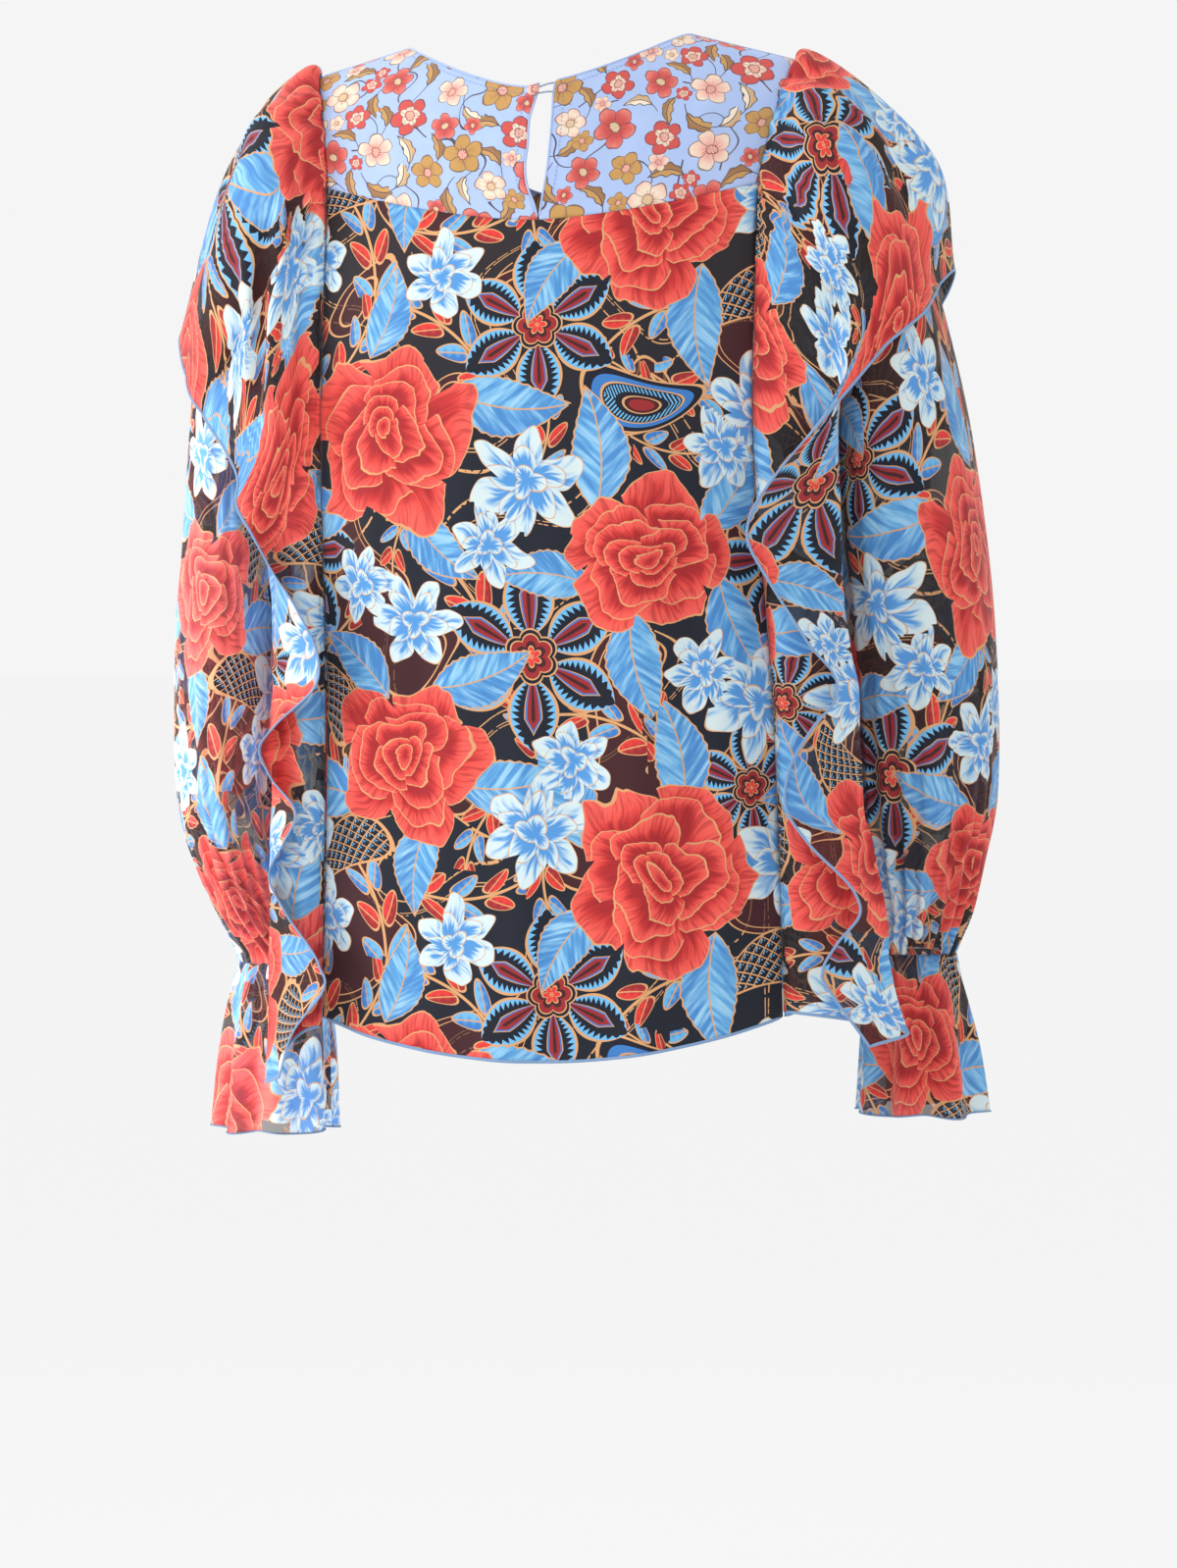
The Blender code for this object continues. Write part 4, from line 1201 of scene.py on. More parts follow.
panels = {
    "back": {"columns": 110, "rows": 190, "cut": (0.145, 0.055, 0), "waves": 0.7},
    "front": {"columns": 76, "rows": 110, "cut": (0.30, 0.20, 0), "waves": 2.2},
    "side": {"columns": 44, "rows": 100, "cut": {1: (0.05, 0.31, 4), -1: (0.22, 0.11, -3)}},
}
hemWave = 0.0012
panelCreases = {  # X and Z of each one's start, middle and end, its half width and its height
    "back": [
        (0.100, -0.150, 0.104, -0.320, 0.112, -0.560, 0.012, 0.0016),
        (0.066, -0.300, 0.070, -0.480, 0.076, -0.660, 0.014, -0.0016),
        (0.034, -0.170, 0.040, -0.330, 0.036, -0.520, 0.016, 0.0012),
        (0.006, -0.400, 0.000, -0.530, 0.004, -0.665, 0.015, 0.0015),
        (-0.030, -0.210, -0.034, -0.380, -0.030, -0.560, 0.013, -0.0012),
        (-0.062, -0.160, -0.070, -0.380, -0.074, -0.655, 0.016, 0.0017),
        (-0.098, -0.260, -0.106, -0.430, -0.112, -0.645, 0.012, -0.0018),
        (-0.122, -0.140, -0.128, -0.280, -0.130, -0.450, 0.008, 0.0012),
        (0.128, -0.240, 0.132, -0.420, 0.136, -0.620, 0.008, -0.0014),
    ],
    "front": [
        (0.090, -0.150, 0.098, -0.330, 0.106, -0.600, 0.014, 0.0022),
        (0.050, -0.260, 0.048, -0.430, 0.058, -0.640, 0.016, -0.0020),
        (0.012, -0.160, 0.006, -0.340, 0.010, -0.560, 0.015, 0.0018),
        (-0.036, -0.220, -0.044, -0.420, -0.042, -0.640, 0.014, 0.0022),
        (-0.078, -0.150, -0.086, -0.360, -0.096, -0.630, 0.015, -0.0022),
        (-0.116, -0.280, -0.122, -0.420, -0.128, -0.600, 0.010, 0.0018),
    ],
}


def panel(columns, rows, back):
    across, down = spread(columns, rows, -1)
    low = hemHeight(form["hemCentre"] + across * form["hemSeam"], back)
    high = yokeSeam(across * yoke["seamHalf"], int(back)) - form["plainSeamGap"]
    z = high + (low - high) * down
    half = smooth(plan, "z", "seam", z) - seamGap(z, back)
    return onBody(smooth(plan, "z", "centre", z) + across * half, z, back)


def underarmHeight(share):
    return form["underarm"] - form["underarmScoop"] * np.sin(np.pi * share)


def sidePanel(side, columns, rows):
    across, down = spread(columns, rows)
    high = underarmHeight(across) - form["plainSeamGap"]
    nearZ = high + (form["hemSide"] - high) * down
    fromBack = seamAngle(nearZ, seamGap(nearZ, back=True))
    fromFront = seamAngle(nearZ, seamGap(nearZ, back=False))
    angle = fromBack - (fromBack + fromFront) * across
    low = hemHeight(bodyRing(angle, form["hemSide"] + 0 * angle, side)[..., 0], angle > 0)
    return bodyRing(angle, high + (low - high) * down, side)


def hemmed(points, seed):  # the hem waves a little
    down = np.linspace(0, 1, len(points))[:, None] ** 6
    run = np.linspace(0, 1, points.shape[1])[None]
    wave = np.sin(23 * run + seed) + 0.7 * np.sin(41 * run + 2.1 * seed + 1) + 0.5 * np.sin(11 * run + 0.4)
    ends = np.minimum(1, 12 * np.minimum(run, 1 - run))
    return points + normalsOf(points) * (hemWave * wave * down * ends)[..., None]


hemLine = {}
for name in ("back", "front"):
    look = panels[name]
    behind = name == "back"
    cloth = creased(panel(look["columns"], look["rows"], behind), panelCreases[name], back=behind)
    cloth = hemmed(cloth, look["waves"])
    addCloth(name + "_panel", cloth, laidFlat(cloth), look["cut"], chiffon, flipped=not behind)
    hemLine[name] = cloth[-1], normalsOf(cloth)[-1] * (1 if behind else -1)
look = panels["side"]
for side, hand in hands.items():
    flank = hemmed(sidePanel(side, look["columns"], look["rows"]), side)
    flat = laidFlat(flank) * (side, 1)
    addCloth("side_panel_" + hand, flank, flat, look["cut"][side], chiffon, flipped=side > 0)
    hemLine[hand] = flank[-1], -normalsOf(flank)[-1] * side
for name, (line, out) in hemLine.items():
    addRope(f"hemEdge-{name}", line, out, thread["edge"], edging)
print("body sewn")


# Sleeves, gathered at the head and into the wrist

sleeveNames = "outX outZ inX inZ midY halfDepth square gather"
sleeveRows = {
    1: table(
        sleeveNames,
        (0.161, -0.012, 0.178, -0.210, 0.000, 0.077, 2.4, 0.0000),
        (0.175, -0.017, 0.180, -0.212, 0.000, 0.079, 2.3, 0.0006),
        (0.190, -0.036, 0.180, -0.213, 0.000, 0.080, 2.2, 0.0010),
        (0.201, -0.066, 0.180, -0.215, -0.001, 0.079, 2.1, 0.0008),
        (0.214, -0.101, 0.180, -0.218, -0.002, 0.078, 2.1, 0.0005),
        (0.226, -0.146, 0.180, -0.226, -0.003, 0.076, 2.2, 0.0003),
        (0.234, -0.196, 0.180, -0.244, -0.004, 0.074, 2.4, 0.0003),
        (0.2400, -0.258, 0.1795, -0.276, -0.006, 0.072, 2.5, 0.0003),
        (0.2475, -0.340, 0.1805, -0.345, -0.009, 0.071, 2.5, 0.0004),
        (0.2510, -0.420, 0.1820, -0.421, -0.014, 0.072, 2.5, 0.0006),
        (0.2510, -0.490, 0.1830, -0.490, -0.022, 0.071, 2.4, 0.0012),
        (0.2440, -0.532, 0.1820, -0.532, -0.038, 0.064, 2.2, 0.0024),
        (0.2345, -0.566, 0.1775, -0.566, -0.056, 0.050, 2.0, 0.0034),
        (0.2275, -0.588, 0.1710, -0.588, -0.068, 0.033, 2.0, 0.0030),
        (0.2260, -0.597, 0.1700, -0.597, -0.070, 0.028, 2.0, 0.0018),
    ),
    -1: table(
        sleeveNames,
        (-0.161, -0.006, -0.178, -0.210, 0.000, 0.078, 2.4, 0.0000),
        (-0.176, -0.011, -0.180, -0.212, 0.000, 0.080, 2.3, 0.0006),
        (-0.197, -0.031, -0.180, -0.213, 0.000, 0.080, 2.2, 0.0010),
        (-0.214, -0.058, -0.180, -0.215, 0.000, 0.079, 2.1, 0.0008),
        (-0.230, -0.095, -0.180, -0.218, -0.001, 0.078, 2.1, 0.0005),
        (-0.243, -0.139, -0.1795, -0.228, -0.002, 0.077, 2.2, 0.0003),
        (-0.256, -0.187, -0.1790, -0.246, -0.003, 0.077, 2.4, 0.0003),
        (-0.2690, -0.247, -0.1790, -0.274, -0.005, 0.076, 2.6, 0.0003),
        (-0.2810, -0.335, -0.1830, -0.342, -0.008, 0.076, 2.6, 0.0004),
        (-0.2860, -0.415, -0.1885, -0.417, -0.012, 0.077, 2.5, 0.0006),
        (-0.2850, -0.480, -0.1920, -0.480, -0.020, 0.075, 2.4, 0.0012),
        (-0.2760, -0.522, -0.1950, -0.522, -0.037, 0.066, 2.2, 0.0024),
        (-0.2665, -0.556, -0.2000, -0.556, -0.056, 0.050, 2.0, 0.0034),
        (-0.2570, -0.577, -0.1990, -0.577, -0.068, 0.033, 2.0, 0.0030),
        (-0.2545, -0.585, -0.1985, -0.585, -0.070, 0.028, 2.0, 0.0018),
    ),
}
sleeveLook = {
    "columns": 190,
    "rows": 200,
    "letsGo": 3,  # sections over which the sleeve leaves the armhole's line
    "cutWidth": 0.42,
    "cut": {1: (0.14, 0.40, 0), -1: (0.27, 0.17, 0)},
    "pleats": 24,
    "fullness": 1.3,
    # the left sleeve and cuff take the painted-light copy of the cloth
    "looks": {1: "bright", -1: "loose"},
    "creases": {
        1: [
            (0.186, -0.030, 0.202, -0.110, 0.210, -0.220, 0.006, -0.0022),
            (0.176, -0.030, 0.190, -0.120, 0.200, -0.260, 0.006, 0.0020),
            (0.222, -0.240, 0.236, -0.380, 0.232, -0.540, 0.010, -0.0022),
            (0.208, -0.300, 0.216, -0.430, 0.214, -0.560, 0.009, 0.0022),
            (0.240, -0.320, 0.246, -0.420, 0.238, -0.520, 0.007, 0.0016),
            (0.196, -0.420, 0.200, -0.500, 0.204, -0.575, 0.006, -0.0018),
            (0.243, -0.500, 0.236, -0.548, 0.226, -0.588, 0.004, -0.0022),
            (0.218, -0.490, 0.216, -0.545, 0.212, -0.590, 0.004, 0.0024),
            (0.226, -0.470, 0.224, -0.530, 0.219, -0.588, 0.0035, -0.0020),
        ],
        -1: [
            (-0.196, -0.024, -0.214, -0.110, -0.226, -0.220, 0.006, -0.0022),
            (-0.182, -0.024, -0.200, -0.120, -0.212, -0.250, 0.006, 0.0020),
            (-0.262, -0.380, -0.264, -0.470, -0.254, -0.560, 0.008, -0.0034),
            (-0.248, -0.300, -0.250, -0.430, -0.246, -0.560, 0.009, 0.0024),
            (-0.276, -0.330, -0.280, -0.430, -0.270, -0.530, 0.007, 0.0018),
            (-0.226, -0.400, -0.228, -0.490, -0.230, -0.570, 0.007, -0.0020),
            (-0.2705, -0.406, -0.272, -0.470, -0.271, -0.517, 0.005, -0.0022),
            (-0.273, -0.480, -0.269, -0.530, -0.259, -0.574, 0.004, 0.0024),
            (-0.247, -0.480, -0.247, -0.530, -0.243, -0.578, 0.004, -0.0024),
            (-0.236, -0.490, -0.238, -0.540, -0.236, -0.580, 0.0035, 0.0022),
        ],
    },
}


def armhole(side, steps=160):
    tip = shoulderLine(side * form["shoulderTip"])
    z = tip + (form["underarm"] - tip) * np.linspace(0, 1, steps) ** 1.6
    behind = onBody(seamX(z, side, seamGap(z, back=True)), z)
    before = onBody(seamX(z, side, seamGap(z, back=False)), z, back=False)
    share = np.linspace(0, 1, steps)
    z = underarmHeight(share) + form["underarmGap"]
    fromBack = seamAngle(z, seamGap(z, back=True))
    fromFront = seamAngle(z, seamGap(z, back=False))
    under = bodyRing(fromBack - (fromBack + fromFront) * share, z, side)
    return np.concatenate([behind, under[1:-1], before[::-1]])


def sleeveStart(side, turn):
    line = armhole(side)
    rows = sleeveRows[side]
    middle = (rows["outZ"][0] + rows["inZ"][0]) / 2
    reach = (rows["outZ"][0] - rows["inZ"][0]) / 2
    angle = np.arctan2(line[:, 1] / rows["halfDepth"][0], (line[:, 2] - middle) / reach)
    angle = np.mod(angle, 2 * np.pi)
    order = np.argsort(angle)
    return np.stack([np.interp(turn, angle[order], places[order], period=2 * np.pi) for places in line.T], -1)


def uneven(turn, count, seed):  # gathers of uneven width and height, round a tube
    shift = 1.1 * np.sin(3 * turn + seed) + 0.7 * np.sin(5 * turn + 2 * seed) + 0.4 * np.sin(8 * turn)
    ripple = 0.3 * np.sin((2 * count + 3) * turn + 3 * seed)
    return np.sin(count * turn + shift) * (0.8 + 0.25 * np.sin(4 * turn + seed)) + ripple


def sleeve(side, columns, rowsAlong, fullness):
    turn = np.linspace(np.pi, 3 * np.pi, columns + 1)  # from the underarm seam
    now, number = sections(sleeveRows[side], rowsAlong)
    wave = 1 + fullness * now["gather"] * uneven(turn, sleeveLook["pleats"], side) / now["halfDepth"]
    along, deep = (
        np.sign(by) * np.abs(by) ** (2 / now["square"]) * wave for by in (np.cos(turn), np.sin(turn))
    )
    x = (now["outX"] + now["inX"]) / 2 + (now["outX"] - now["inX"]) / 2 * along
    z = (now["outZ"] + now["inZ"]) / 2 + (now["outZ"] - now["inZ"]) / 2 * along
    points = np.stack([x, now["midY"] + now["halfDepth"] * deep, z], axis=-1)
    hold = np.clip(1 - number / sleeveLook["letsGo"], 0, 1)[..., None] ** 2
    points = points + (sleeveStart(side, turn) - points[0]) * hold
    points[:, -1] = points[:, 0]
    return points


def addTube(node, side, points, look, flipped):  # the cut: across by share of the ring, down by mean length
    down = summed(paces(points, 0).mean(axis=1))
    across = np.linspace(-0.5, 0.5, points.shape[1]) * look["cutWidth"]
    flat = np.stack(np.broadcast_arrays(across[None], -down[:, None]), axis=-1) * (side, 1)
    spot, dye = look["cut"][side], sleeveLook["looks"][side]
    addCloth(node, points, flat, spot, chiffon, closed=True, flipped=flipped, look=dye)


for side, hand in hands.items():
    arm = sleeve(side, sleeveLook["columns"], sleeveLook["rows"], sleeveLook["fullness"])
    arm = creased(arm, sleeveLook["creases"][side], closed=True)
    arm[:, -1] = arm[:, 0]
    addTube("sleeve_" + hand, side, arm, sleeveLook, side > 0)
print("sleeves sewn")


# Frill cuffs below the wrist elastic

cuffNames = "centreX centreY z radiusX radiusY flute"
cuffRows = {
    1: table(
        cuffNames,
        (0.1980, -0.070, -0.5977, 0.0280, 0.0280, 0.0008),
        (0.1995, -0.070, -0.612, 0.0310, 0.0320, 0.0014),
        (0.2005, -0.070, -0.632, 0.0340, 0.0360, 0.0026),
        (0.2015, -0.069, -0.665, 0.0365, 0.0400, 0.0040),
        (0.2025, -0.068, -0.709, 0.0385, 0.0430, 0.0048),
    ),
    -1: table(
        cuffNames,
        (-0.2265, -0.070, -0.5857, 0.0280, 0.0280, 0.0008),
        (-0.2275, -0.070, -0.600, 0.0310, 0.0320, 0.0014),
        (-0.2300, -0.070, -0.620, 0.0340, 0.0360, 0.0026),
        (-0.2330, -0.069, -0.650, 0.0375, 0.0400, 0.0040),
        (-0.2350, -0.068, -0.690, 0.0410, 0.0430, 0.0050),
    ),
}
cuffLook = {
    "columns": 160,
    "rows": 44,
    "flutes": 8,
    "pucker": 0.0018,
    "puckers": 22,
    "cutWidth": 0.36,
    "cut": {1: (0.20, 0.02, 0), -1: (0.324, 0.190, 0)},
}


def cuff(side, columns, rowsAlong):
    turn = np.linspace(np.pi, 3 * np.pi, columns + 1)
    now, number = sections(cuffRows[side], rowsAlong)
    down = number / number[-1]
    wave = now["flute"] * (np.sin(cuffLook["flutes"] * turn) + 0.25 * np.sin(3 * turn + side))
    pucker = cuffLook["pucker"] * uneven(turn, cuffLook["puckers"], 2 + side) * (1 - down) ** 2
    x = now["centreX"] + side * (now["radiusX"] + wave + pucker) * np.cos(turn)
    y = now["centreY"] + (now["radiusY"] + wave + pucker) * np.sin(turn)
    points = np.stack([x, y, now["z"] + 0.0012 * np.sin(5 * turn) * down**3], axis=-1)
    points[:, -1] = points[:, 0]
    return points


for side, hand in hands.items():
    frill = cuff(side, cuffLook["columns"], cuffLook["rows"])
    addTube("cuff_" + hand, side, frill, cuffLook, side < 0)
    outwards = unit((frill[-1] - frill[-1, :-1].mean(axis=0)) * (1, 1, 0))
    addRope("cuffEdge-" + hand, frill[-1], outwards, thread["cuffEdge"], edging, closed=True)
print("cuffs sewn")


# Cascade flounces in the armhole and the long back seams

flounceNames = "drop foldX foldY foldZ edgeX edgeY edgeZ"
flounceRows = {
    1: table(
        flounceNames,
        (-0.108, 0.150, -0.082, -0.118, 0.156, -0.087, -0.130),
        (-0.080, 0.168, -0.088, -0.128, 0.180, -0.092, -0.168),
        (-0.045, 0.192, -0.078, -0.120, 0.216, -0.082, -0.192),
        (-0.018, 0.209, -0.050, -0.092, 0.238, -0.052, -0.190),
        (0.000, 0.219, -0.010, -0.068, 0.252, -0.012, -0.178),
        (0.020, 0.213, 0.030, -0.098, 0.243, 0.030, -0.193),
        (0.048, 0.197, 0.055, -0.131, 0.231, 0.055, -0.214),
        (0.086, 0.184, 0.075, -0.170, 0.214, 0.077, -0.239),
        (0.126, 0.175, 0.085, -0.199, 0.200, 0.088, -0.256),
        (0.168, 0.168, 0.095, -0.233, 0.190, 0.095, -0.274),
        (0.220, 0.166, 0.098, -0.271, 0.190, 0.098, -0.292),
        (0.273, 0.168, 0.092, -0.308, 0.177, 0.105, -0.313),
        (0.317, 0.171, 0.085, -0.333, 0.163, 0.110, -0.336),
        (0.350, 0.171, 0.080, -0.359, 0.147, 0.114, -0.359),
        (0.380, 0.171, 0.080, -0.391, 0.133, 0.116, -0.390),
        (0.400, 0.171, 0.080, -0.409, 0.136, 0.116, -0.408),
        (0.423, 0.171, 0.082, -0.433, 0.163, 0.108, -0.432),
        (0.441, 0.167, 0.088, -0.451, 0.175, 0.100, -0.448),
        (0.456, 0.168, 0.086, -0.465, 0.167, 0.106, -0.464),
        (0.480, 0.172, 0.080, -0.489, 0.149, 0.112, -0.487),
        (0.501, 0.172, 0.082, -0.510, 0.158, 0.108, -0.507),
        (0.520, 0.169, 0.088, -0.528, 0.168, 0.104, -0.526),
        (0.547, 0.173, 0.080, -0.556, 0.156, 0.110, -0.551),
        (0.576, 0.175, 0.076, -0.588, 0.133, 0.116, -0.584),
        (0.593, 0.175, 0.076, -0.609, 0.132, 0.116, -0.602),
        (0.604, 0.175, 0.080, -0.634, 0.152, 0.114, -0.629),
        (0.612, 0.175, 0.084, -0.660, 0.161, 0.108, -0.656),
    ),
    -1: table(
        flounceNames,
        (-0.108, -0.150, -0.082, -0.118, -0.156, -0.087, -0.130),
        (-0.080, -0.168, -0.088, -0.124, -0.182, -0.092, -0.160),
        (-0.045, -0.198, -0.078, -0.112, -0.222, -0.082, -0.172),
        (-0.018, -0.228, -0.050, -0.084, -0.246, -0.052, -0.160),
        (0.000, -0.244, -0.010, -0.066, -0.258, -0.012, -0.141),
        (0.020, -0.240, 0.030, -0.094, -0.248, 0.030, -0.156),
        (0.048, -0.226, 0.055, -0.121, -0.232, 0.055, -0.177),
        (0.086, -0.210, 0.075, -0.152, -0.216, 0.080, -0.200),
        (0.125, -0.201, 0.088, -0.183, -0.198, 0.098, -0.224),
        (0.168, -0.196, 0.094, -0.214, -0.179, 0.112, -0.248),
        (0.217, -0.194, 0.092, -0.247, -0.158, 0.120, -0.274),
        (0.266, -0.195, 0.090, -0.284, -0.142, 0.122, -0.300),
        (0.306, -0.196, 0.090, -0.320, -0.142, 0.122, -0.319),
        (0.333, -0.197, 0.088, -0.345, -0.152, 0.122, -0.337),
        (0.373, -0.200, 0.086, -0.378, -0.178, 0.120, -0.378),
        (0.405, -0.206, 0.088, -0.410, -0.197, 0.110, -0.409),
        (0.427, -0.207, 0.086, -0.432, -0.181, 0.118, -0.431),
        (0.457, -0.208, 0.084, -0.461, -0.166, 0.122, -0.460),
        (0.478, -0.210, 0.084, -0.483, -0.165, 0.122, -0.481),
        (0.500, -0.214, 0.084, -0.504, -0.178, 0.120, -0.502),
        (0.530, -0.220, 0.090, -0.536, -0.207, 0.112, -0.534),
        (0.545, -0.222, 0.090, -0.549, -0.210, 0.110, -0.547),
        (0.565, -0.225, 0.088, -0.568, -0.196, 0.118, -0.566),
        (0.581, -0.228, 0.088, -0.585, -0.188, 0.122, -0.582),
        (0.594, -0.232, 0.090, -0.602, -0.192, 0.122, -0.594),
        (0.604, -0.238, 0.094, -0.621, -0.217, 0.118, -0.629),
    ),
}
flounceLook = {
    "columns": 44,
    "rows": 500,
    "lift": 0.005,
    "foldShare": 0.55,
    "turnsUp": 0.004,
    "crowding": 1.4,
    "clearRoot": 0.0036,
    "clearEdge": 0.0055,
    "rounds": 3,
    "evening": 0.2,
    "evenedFrom": 4,  # the columns next to the seam stay
    "cut": {1: (0.28, 0.34, 20), -1: (0.19, 0.30, 200)},
    # the left flounce takes a painted-light copy, the right one a painted-shade copy
    "looks": {1: "brightFrill", -1: "frill"},
    "gathers": {
        "behind": 0.055,
        "spread": 0.085,
        "waves": [  # length, height, how much of it shows all along, how soon it fades out
            (0.0105, 0.0013, 0.18, 2.6),
            (0.0260, 0.0022, 0.20, 1.1),
        ],
    },
    "creases": {
        1: [
            (0.1475, -0.098, 0.156, -0.152, 0.1645, -0.239, 0.0045, -0.0030),
            (0.1556, -0.062, 0.164, -0.085, 0.169, -0.107, 0.0050, -0.0024),
            (0.149, -0.058, 0.1495, -0.140, 0.149, -0.262, 0.0055, -0.0046),
            (0.1650, -0.066, 0.1655, -0.160, 0.1620, -0.285, 0.0090, 0.0095),
            (0.1800, -0.086, 0.1850, -0.150, 0.1860, -0.235, 0.0060, 0.0050),
            (0.1435, -0.085, 0.1425, -0.160, 0.1415, -0.240, 0.0035, 0.0024),
            (0.170, -0.150, 0.174, -0.190, 0.177, -0.230, 0.0060, -0.0020),
        ],
        -1: [
            (-0.152, -0.030, -0.160, -0.075, -0.166, -0.120, 0.0050, -0.0022),
            (-0.174, -0.045, -0.196, -0.080, -0.211, -0.150, 0.0060, -0.0026),
            (-0.189, -0.150, -0.190, -0.190, -0.192, -0.240, 0.0060, -0.0022),
            (-0.195, -0.351, -0.200, -0.420, -0.209, -0.485, 0.0045, -0.0020),
            (-0.209, -0.485, -0.218, -0.530, -0.228, -0.580, 0.0045, -0.0020),
        ],
    },
}


def flounceSeam(side, drop):
    z = shoulderLine(side * form["shoulderTip"]) - np.abs(drop)
    x = seamX(z, side, 0)
    nudge = 1e-4

    def at(x, z):
        return np.where(drop[..., None] >= 0, onBody(x, z), onBody(x, z, back=False))

    normal = unit(np.cross(at(x + nudge, z) - at(x - nudge, z), at(x, z - nudge) - at(x, z + nudge)))
    normal = normal * np.where(drop >= 0, 1, -1)[..., None]
    top = np.clip(1 - np.abs(drop) / flounceLook["turnsUp"], 0, 1)[..., None]
    return at(x, z), unit(normal * (1 - top) + np.array([0, 0, 1.0]) * top)


def alongSeam(side, first, last, steps=801):
    share = np.linspace(-1, 1, steps)
    drops = share * np.abs(share) * np.where(share < 0, -first, last)
    line, _ = flounceSeam(side, drops)
    return drops, summed(paces(line, 0))


def flounce(side, columns, rowsAlong, covered):
    rows = flounceRows[side]
    drops, lengths = alongSeam(side, rows["drop"][0], rows["drop"][-1])
    rows = dict(rows, length=np.interp(rows["drop"], drops, lengths))
    run = np.linspace(0, lengths[-1], rowsAlong)
    root, normal = flounceSeam(side, np.interp(run, lengths, drops))
    fold, edge = (
        np.stack([smooth(rows, "length", which + axis, run) for axis in "XYZ"], axis=-1)
        for which in ("fold", "edge")
    )
    knots = np.stack([root, root + normal * flounceLook["lift"], fold, edge])
    at = np.linspace(0, 1, columns) ** flounceLook["crowding"]
    share = np.array([0, 0.1 ** flounceLook["crowding"], flounceLook["foldShare"], 1])
    points = np.empty((rowsAlong, columns, 3))
    for row in range(rowsAlong):
        for axis in range(3):
            line = {"share": share, "place": knots[:, row, axis]}
            points[row, :, axis] = smooth(line, "share", "place", at)
    return keptClear(points, covered)


def treeOf(grids):
    points, faces = [], []
    for grid in grids:
        rows, columns = grid.shape[:2]
        first = len(points)
        number = np.arange(rows * columns).reshape(rows, columns) + first
        quads = np.stack([number[:-1, :-1], number[:-1, 1:], number[1:, 1:], number[1:, :-1]], axis=-1)
        faces += quads.reshape(-1, 4).tolist()
        points += [Vector(point) for point in grid.reshape(-1, 3)]
    return BVHTree.FromPolygons(points, faces)


def keptClear(points, covered):  # evens the cloth and moves it clear of what it lies over
    clear = np.linspace(flounceLook["clearRoot"], flounceLook["clearEdge"], points.shape[1])
    first, evening = flounceLook["evenedFrom"], flounceLook["evening"]
    for _ in range(flounceLook["rounds"]):
        inner = points[1:-1, first:-1]
        inner += evening * (points[1:-1, first - 1 : -2] + points[1:-1, first + 1 :] - 2 * inner)
        inner += evening * (points[:-2, first:-1] + points[2:, first:-1] - 2 * inner)
        for row in range(points.shape[0]):
            for column in range(1, points.shape[1]):
                point = Vector(points[row, column])
                near, out, _, _ = covered.find_nearest(point)
                lacking = clear[column] - (point - near).dot(out)
                if lacking > 0:
                    points[row, column] += np.array(out) * lacking
    return points


def gathered(points, side):  # waves out of the seam, deepest over the shoulder
    run = summed(paces(points[:, :1], 0)[:, 0])
    look = flounceLook["gathers"]
    top = run[np.argmax(points[:, 0, 2])] + look["behind"]
    over = np.exp(-(((run - top) / look["spread"]) ** 2))
    at = np.linspace(0, 1, points.shape[1])[None]
    lift = 0
    for pitch, height, everywhere, fades in look["waves"]:
        swing = 2 * np.pi * run / pitch + 1.5 * np.sin(run * 0.42 / pitch + side)
        swing = np.sin(swing + 0.9 * np.sin(run * 1.13 / pitch))
        high = height * (everywhere + (1 - everywhere) * over) * (0.8 + 0.35 * np.sin(run * 2.1 / pitch))
        lift = lift + (high * swing)[:, None] * np.clip(at * 14, 0, 1) * np.clip(1 - at * fades, 0, 1)
    return points + normalsOf(points) * lift[..., None]


def stripCut(points):  # seam and edge keep their lengths, so the strip curls where its edge is longer
    across = summed(paces(points, 1), 1)
    inner, outer = paces(points[:, :1], 0)[:, 0], paces(points[:, -1:], 0)[:, 0]
    heading = summed((outer - inner) / ((across[1:, -1] + across[:-1, -1]) / 2))
    heading -= heading.mean()
    way = (heading[1:] + heading[:-1]) / 2
    seam = summed(np.stack([inner * np.cos(way), inner * np.sin(way)], -1))
    out = np.stack([np.sin(heading), -np.cos(heading)], -1)
    return seam[:, None] + across[..., None] * out[:, None]


backForm = panel(40, 60, True)
for side, hand in hands.items():
    flank = sidePanel(side, 24, 40)
    arm = sleeve(side, 96, 60, 0.0)
    covered = treeOf([flank[:, ::side], arm[:, ::-side], backForm])
    ruffle = flounce(side, flounceLook["columns"], flounceLook["rows"], covered)
    ruffle = gathered(creased(ruffle, flounceLook["creases"][side]), side)
    out = normalsOf(ruffle)
    flipped = bool((out[:, -8:, 1] < 0).mean() > 0.5)
    spot, dye = flounceLook["cut"][side], flounceLook["looks"][side]
    addCloth("flounce_" + hand, ruffle, stripCut(ruffle), spot, chiffon, flipped=flipped, look=dye)
    line, outwards = (np.concatenate([grid[:, -1], grid[-1, -2::-1]]) for grid in (ruffle, out))
    addRope("flounceEdge-" + hand, line, outwards, thread["edge"], edging)
print("flounces sewn")


# The covered button at the top of the keyhole, and the thread loop round its shank

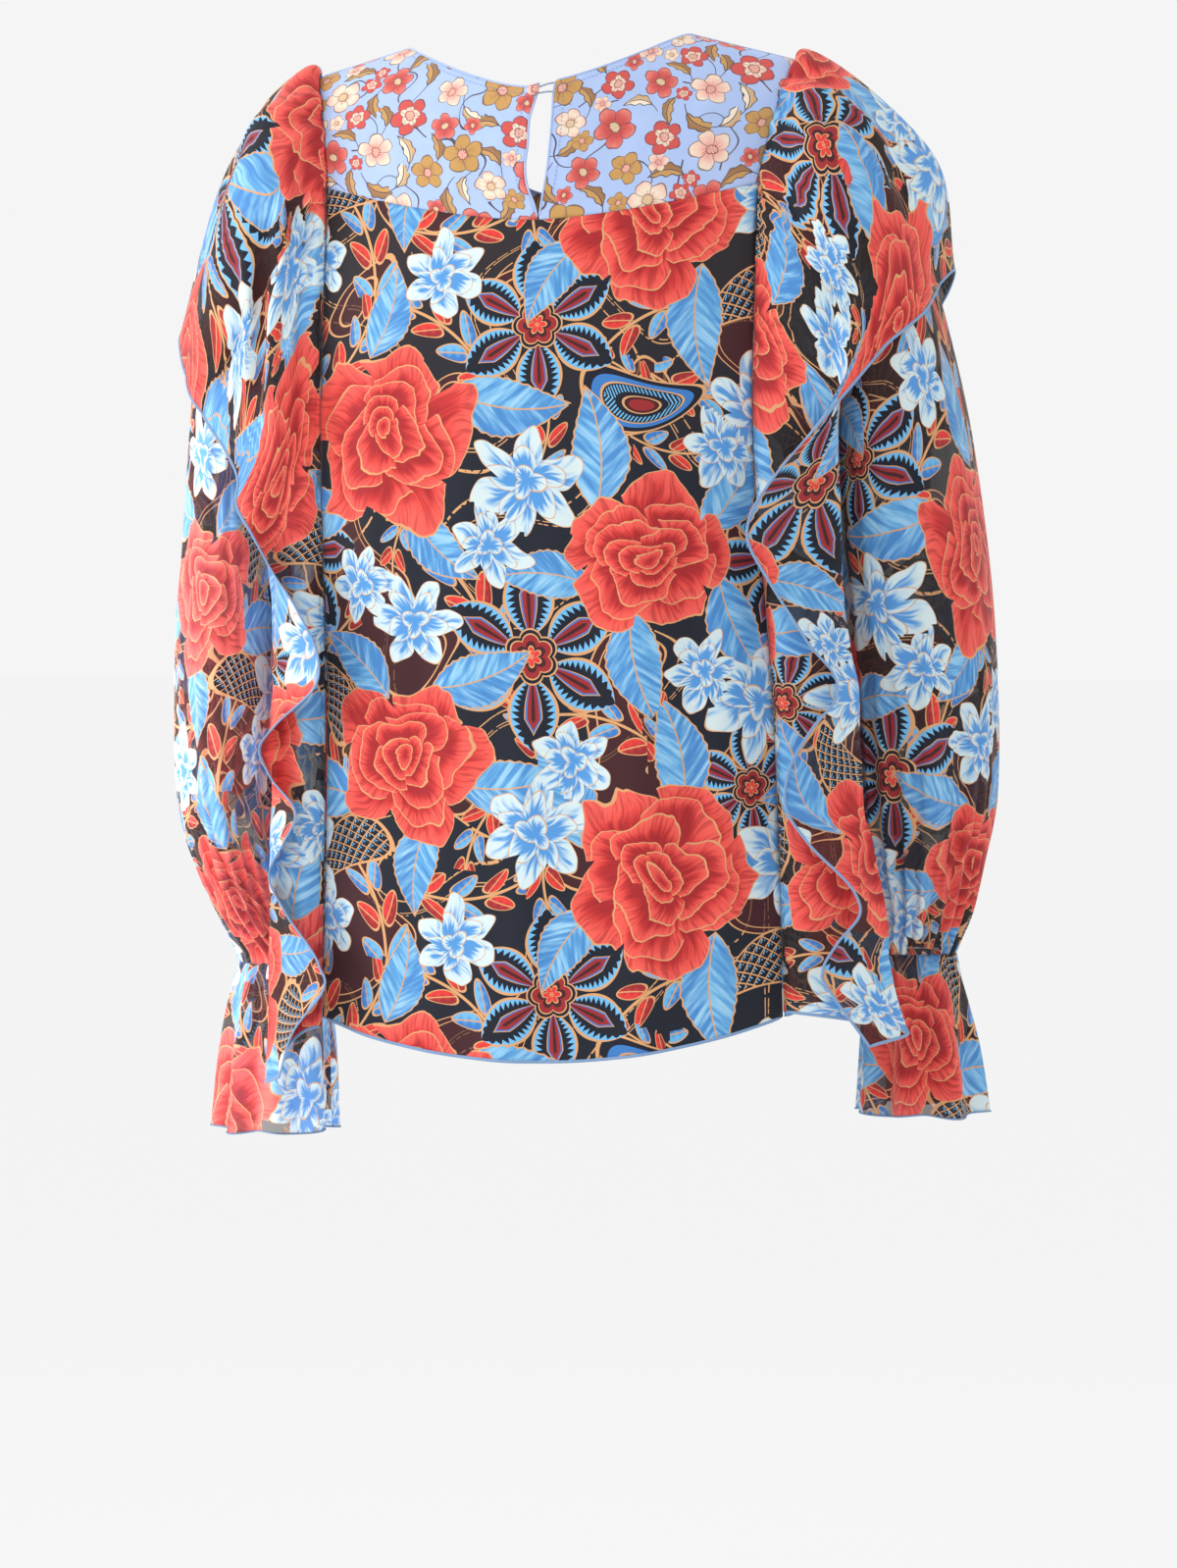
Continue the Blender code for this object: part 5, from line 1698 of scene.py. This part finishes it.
loop = {
    "size": (0.0012, 0.0012),
    "ends": (0.0014, 0.0076),  # below the neck edge, on the right half
    "stand": 0.0015,
    "bend": 0.0018,
    "lap": 0.0033,
}
button = {
    "at": np.array([0.0021, -0.0315]),
    "sides": 48,
    "rings": 46,
    "cut": np.array([0.021, 0.046]),
    "cover": 0.009,
}
buttonProfile = table(
    "out radius",
    (0.0009, 0.0000),
    (0.0009, 0.0009),
    (0.0022, 0.0009),
    (0.0024, 0.0028),
    (0.0028, 0.0037),
    (0.0036, 0.0040),
    (0.0044, 0.0036),
    (0.0050, 0.0026),
    (0.0053, 0.0012),
    (0.0053, 0.0000),
)


def outOfBack(x, z):
    nudge = 1e-4
    across = (bodyY(x + nudge, z) - bodyY(x - nudge, z)) / (2 * nudge)
    upwards = (bodyY(x, z + nudge) - bodyY(x, z - nudge)) / (2 * nudge)
    return unit(np.stack(np.broadcast_arrays(-across, 1.0, -upwards), axis=-1))


def addLoop():
    x = yoke["centreBack"] - keyhole["right"][0]
    first, last = (np.array([x, neckOrShoulder(x, 1) - drop]) for drop in loop["ends"])
    angle = np.linspace(np.pi / 2, -np.pi / 2, 25)
    bend = button["at"] + loop["bend"] * np.stack([np.cos(angle), np.sin(angle)], axis=-1)
    share = np.linspace(0, 1, 20, endpoint=False)
    run = share[:, None]
    path = np.concatenate([first + (bend[0] - first) * run, bend, last + (bend[-1] - last) * run[::-1]])
    rise = np.minimum(1, share * 2.5)
    rise = loop["stand"] * np.concatenate([rise, np.ones(len(bend)), rise[::-1]])
    x, z = path.T
    out = outOfBack(x, z)
    path = onBody(x, z) + out * rise[:, None]
    strand = addRope("neck-loop", path, out, loop["size"], looped, lap=loop["lap"])
    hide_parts("neck_loop")


def addButton():
    now, number = sections(buttonProfile, button["rings"])
    x, z = button["at"]
    out = outOfBack(x, z)
    across = unit(np.cross(out, [0.0, 0.0, 1.0]))
    upwards = np.cross(across, out)
    turn = np.linspace(0, 2 * np.pi, button["sides"] + 1)
    spokes = across * np.cos(turn)[:, None] + upwards * np.sin(turn)[:, None]
    points = onBody(x, z) + out * now["out"][..., None] + spokes * now["radius"][..., None]
    reach = (number[-1] - number) / number[-1] * button["cover"]
    flat = button["cut"] + np.stack(np.broadcast_arrays(reach * np.cos(turn), reach * np.sin(turn)), axis=-1)
    mesh, corners = gridMesh("neck-button", points, flat)
    layMotifs(mesh, corners, voile)
    finishedMesh(mesh, True, False)
    mesh.materials.append(voile["materials"]["worn"][0])
    place(mesh, "voile", "neck_button")


addLoop()
addButton()
print("button and loop sewn")
